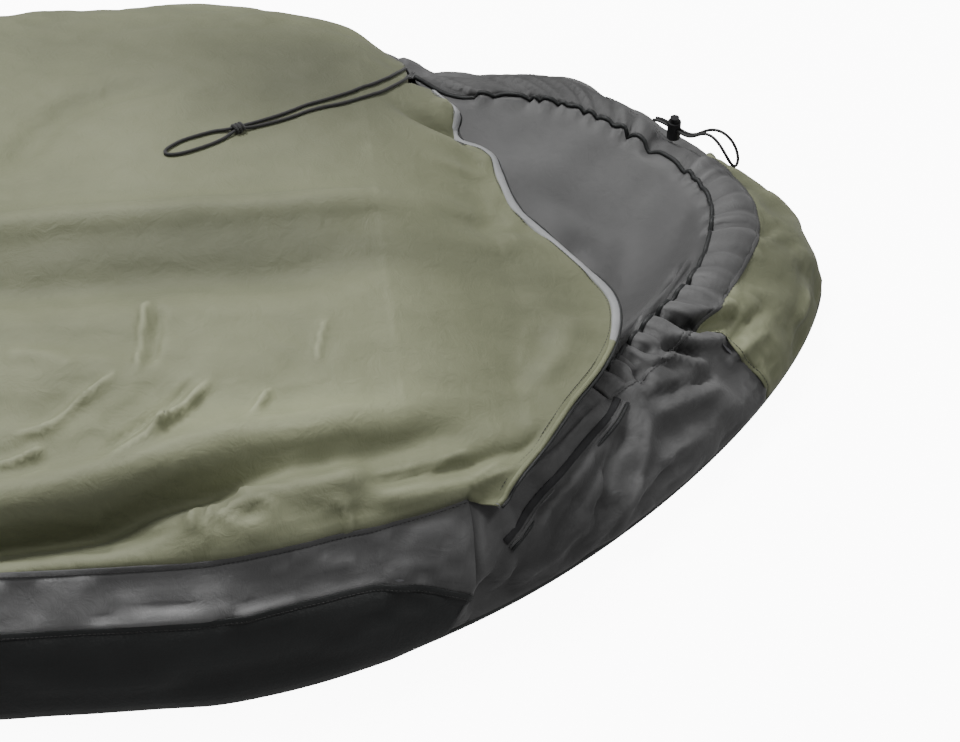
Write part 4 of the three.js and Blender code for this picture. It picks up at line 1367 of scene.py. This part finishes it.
def felled(name, grid, width, material, row=None, column=None, step=6.0):
    """A flat seam along a row or column of a grid, with stitches. Returns its line and outward directions."""
    line, up = clean_line(grid, row, column, step)
    ribbon(name, line, up, width, 0.7, material, inset=0.15)
    stitches(name + "_stitches", line + sideways(line, up) * (width * 0.28), up, lift=0.62)
    return line, up


TAPE_BELOW, TAPE_WIDE = 5.5, 12.0


def sealed(name, line, up, node):
    """The tape that seals a seam on the inside."""
    tape = ribbon(name, line - up * TAPE_BELOW, up, TAPE_WIDE, 0.4, "tape")
    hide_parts(node)


def seam_strips():
    for side, end in (("left", 0), ("right", -1)):
        felled(f"top_seam_{side}", "top", 5.5, "grey", column=end)
        line, up = felled(f"tub_seam_{side}", "gusset_" + side, 6.0, "black", column=0)
        sealed(f"tub_tape_{side}", line, up, f"tub_seam_tape_{side}")
        sealed(f"top_tape_{side}", *clean_line("gusset_" + side, column=4), f"top_seam_tape_{side}")
        line, up = felled(f"crown_seam_{side}", "hood_crown", 5.0, "olive", row=end, step=4.0)
        sealed(f"crown_tape_{side}", line, up, f"crown_seam_tape_{side}")
    line, up = felled("tub_seam_foot", "gusset_foot", 6.0, "black", column=0)
    sealed("foot_tape", line, up, "foot_seam_tape")
    felled("collar_seam", "collar", 4.5, "grey", column=0, step=4.0)


LOOP_ROWS, LOOP_COLUMNS, LOOP_BELOW = slice(12, 21), slice(5, 52), 2.6


def loop_strip():
    """The looped half of the closure, under the flap's left edge."""
    index = shell.grids["flap"][LOOP_ROWS, LOOP_COLUMNS]
    points = shell.co[index] - outward[index] * LOOP_BELOW
    strip = grid_piece("loop_strip", points, ["fastener"], STRIP_THICK, body="flap")
    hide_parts("closure_loop_strip")


HOOK_LINE = [(878, -198, 91), (866, -216, 88), (844, -242, 87), (818, -272, 85), (790, -301, 80),
             (764, -326, 72)]
HOOK_WIDE = 6.5
HOOK_EDGES = [  # the edge beside it and its binding: place, width, height, cloth and inset
    ("hook_strip_edge", 6.5, 2.6, 1.0, "grey", 0.2), ("hook_strip_binding", 9.8, 3.0, 1.2, "black", 0.3)]


def cloth_tree(*names):
    return BVHTree.FromPolygons(shell.co.tolist(), shell.quads(*names).tolist())


def hook_strip():
    """The hooked half of the closure, sewn to the hood below its opening, with a narrow edge beside it."""
    tree = cloth_tree("hood_left", "hood_slit", "collar")
    found = [tree.find_nearest(Vector(p))[:2] for p in refine(HOOK_LINE, 5.0)]
    line, out = (np.array([list(pair[i]) for pair in found]) for i in (0, 1))
    out *= np.sign(out @ [0, -0.6, 0.8])[:, None]
    for _ in range(3):
        for smoothed in (line, out):
            smoothed[1:-1] = (smoothed[:-2] + smoothed[1:-1] + smoothed[2:]) / 3
    out = unit(out)
    strip = ribbon("hook_strip", line + out * 0.6, out, HOOK_WIDE, 1.2, "fastener", inset=0.3)
    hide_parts("closure_hook_strip")
    across = sideways(line, out)
    across *= np.sign(across[:, 0].sum())
    for name, beside, wide, high, material, inset in HOOK_EDGES:
        ribbon(name, line + across * beside + out * 0.4, out, wide, high, material, inset=inset)


# ---------------------------------------------------------------- cords
EDGE_Z = 110.0  # about the height of the top's edge at the hood


def surface_below(points):
    """The height of the top or the flap under each point."""
    tree = cloth_tree("top", "flap")
    found = []
    for x, y in points:
        hit = tree.ray_cast(Vector((x, y, 400.0)), Vector((0, 0, -1)))[0]
        found.append(hit.z if hit else tree.find_nearest(Vector((x, y, EDGE_Z)))[0].z)
    return np.array(found)


TAIL_APART, TAIL_SPREAD, TAIL_LIFT = 2.6, 6.0, 0.3
LOOP_START, LOOP_LENGTH, LOOP_HALF, LOOP_DRIFT, LOOP_POINTS = 8.6, 62.0, 8.5, 0.25, 17
KNOT_TURNS, KNOT_HALF, KNOT_WIDE, KNOT_HIGH, KNOT_LIFT = 2.7, 4.2, 4.3, 3.1, 1.9
KNOT_ENTRY, KNOT_RISE, KNOT_REACH = 1.6, 1.6, 10


def tail_line(way, side):
    """One strand out to the knot, round the loop and back, laid on the cloth."""
    middle = Curve(TAIL)
    t = np.linspace(0, 1, 15)
    apart = TAIL_APART + (TAIL_SPREAD - TAIL_APART) * np.sin(math.pi * t)
    direction = middle.way(t)
    normal = np.stack([-direction[:, 1], direction[:, 0]], axis=1)
    front, back = (middle.at(t) + normal * gap[:, None] for gap in (apart, -apart))
    angle = np.pi * np.linspace(-1, 1, LOOP_POINTS)
    ahead = LOOP_START + LOOP_LENGTH / 2 * (1 + np.cos(angle))
    aside = -LOOP_HALF * np.sin(angle) * np.abs(np.cos(angle / 2)) ** 0.2
    aside -= LOOP_DRIFT * (np.arange(LOOP_POINTS) - LOOP_POINTS // 2)
    loop = KNOT + way * ahead[:, None] + side * aside[:, None]
    if (loop[0] - KNOT) @ side * ((front[-1] - KNOT) @ side) < 0:
        loop = loop[::-1]
    enter, leave = KNOT + side * KNOT_ENTRY, KNOT - side * KNOT_ENTRY
    flat = np.vstack([front, enter, loop[1:-1], leave, back[::-1]])
    line = refine(lifted(flat, np.zeros(len(flat))), 3.0)
    line[:, 2] = surface_below(line[:, :2]) + CORD_R + TAIL_LIFT
    for _ in range(4):
        line[1:-1, 2] = np.maximum(line[1:-1, 2], (line[:-2, 2] + line[2:, 2]) / 2)
    line[:, 2] += KNOT_RISE * near(line[:, :2], KNOT, KNOT_REACH)
    return line


def drawcord_tail():
    """The doubled tail of the drawcord, with the wraps of its knot."""
    way = unit(KNOT - TAIL[-2])
    side = np.array([-way[1], way[0]])
    line = tail_line(way, side)
    cord = free_cord("drawcord_tail", line)
    centre = np.array([*KNOT, surface_below([KNOT])[0] + CORD_R + KNOT_LIFT])
    turn = np.linspace(0, 2 * math.pi * KNOT_TURNS, 60)
    wrap = centre + np.outer(np.linspace(-KNOT_HALF, KNOT_HALF, 60), [*way, 0.0])
    wrap += np.outer(np.cos(turn) * KNOT_WIDE, [*side, 0.0]) + np.outer(np.sin(turn) * KNOT_HIGH, [0, 0, 1])
    knot = tube("tail_knot_wraps", wrap, CORD_R, "cord")
    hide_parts("drawcord_tail_front", "drawcord_tail_back", "tail_loop")
    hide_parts("tail_knot")


def lock_cord():
    """The elastic cord: out of the collar, through the lock, round its standing bight and back."""
    strand = [(out, apart, up) for (out, up), apart in zip(LOCK_LOOP, LOCK_STRAND)]
    strand += [(out, -apart, up) for out, apart, up in strand[-2::-1]]
    local = refine(strand, 2.0)
    for _ in range(12):
        local[1:-1] = (local[:-2] + 2 * local[1:-1] + local[2:]) / 4
    line = LOCK_AT + local @ np.array([LOCK_WAY, LOCK_OUT, [0, 0, 1]])
    cord = free_cord("lock_cord", line)
    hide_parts("lock_cord_loop")


LOCK_PARTS = {"cord_lock_barrel": ("plastic", 0.5), "cord_lock_plunger": ("plastic", 0.4),
              "cord_lock_spring": ("steel", 0)}  # material, and how much its edges are softened


def cord_lock():
    """The lock's own solids get their materials and softened edges, and its spring a copy of its own mesh,
    attached to the lock.
    """
    for name, (material, width) in LOCK_PARTS.items():
        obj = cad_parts[name]
        obj.data.materials.clear()
        obj.data.materials.append(M[material])
        if width:
            bevel = obj.modifiers.new("softened", "BEVEL")
            bevel.width = width * MM
            bevel.segments = 3
            bevel.limit_method = "ANGLE"
            bevel.angle_limit = math.radians(50)
    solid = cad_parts["cord_lock_spring"]
    spring = add_object("lock_spring", solid.data.copy())
    spring.matrix_world = solid.matrix_world.copy()
    attached(spring, "cord_lock")
    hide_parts("cord_lock_spring")
    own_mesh(spring)


make_panels()
floor_sheet()
hood_lining()
flap_hem()
collar_rim()
seam_strips()
loop_strip()
hook_strip()
drawcord_tail()
lock_cord()
cord_lock()
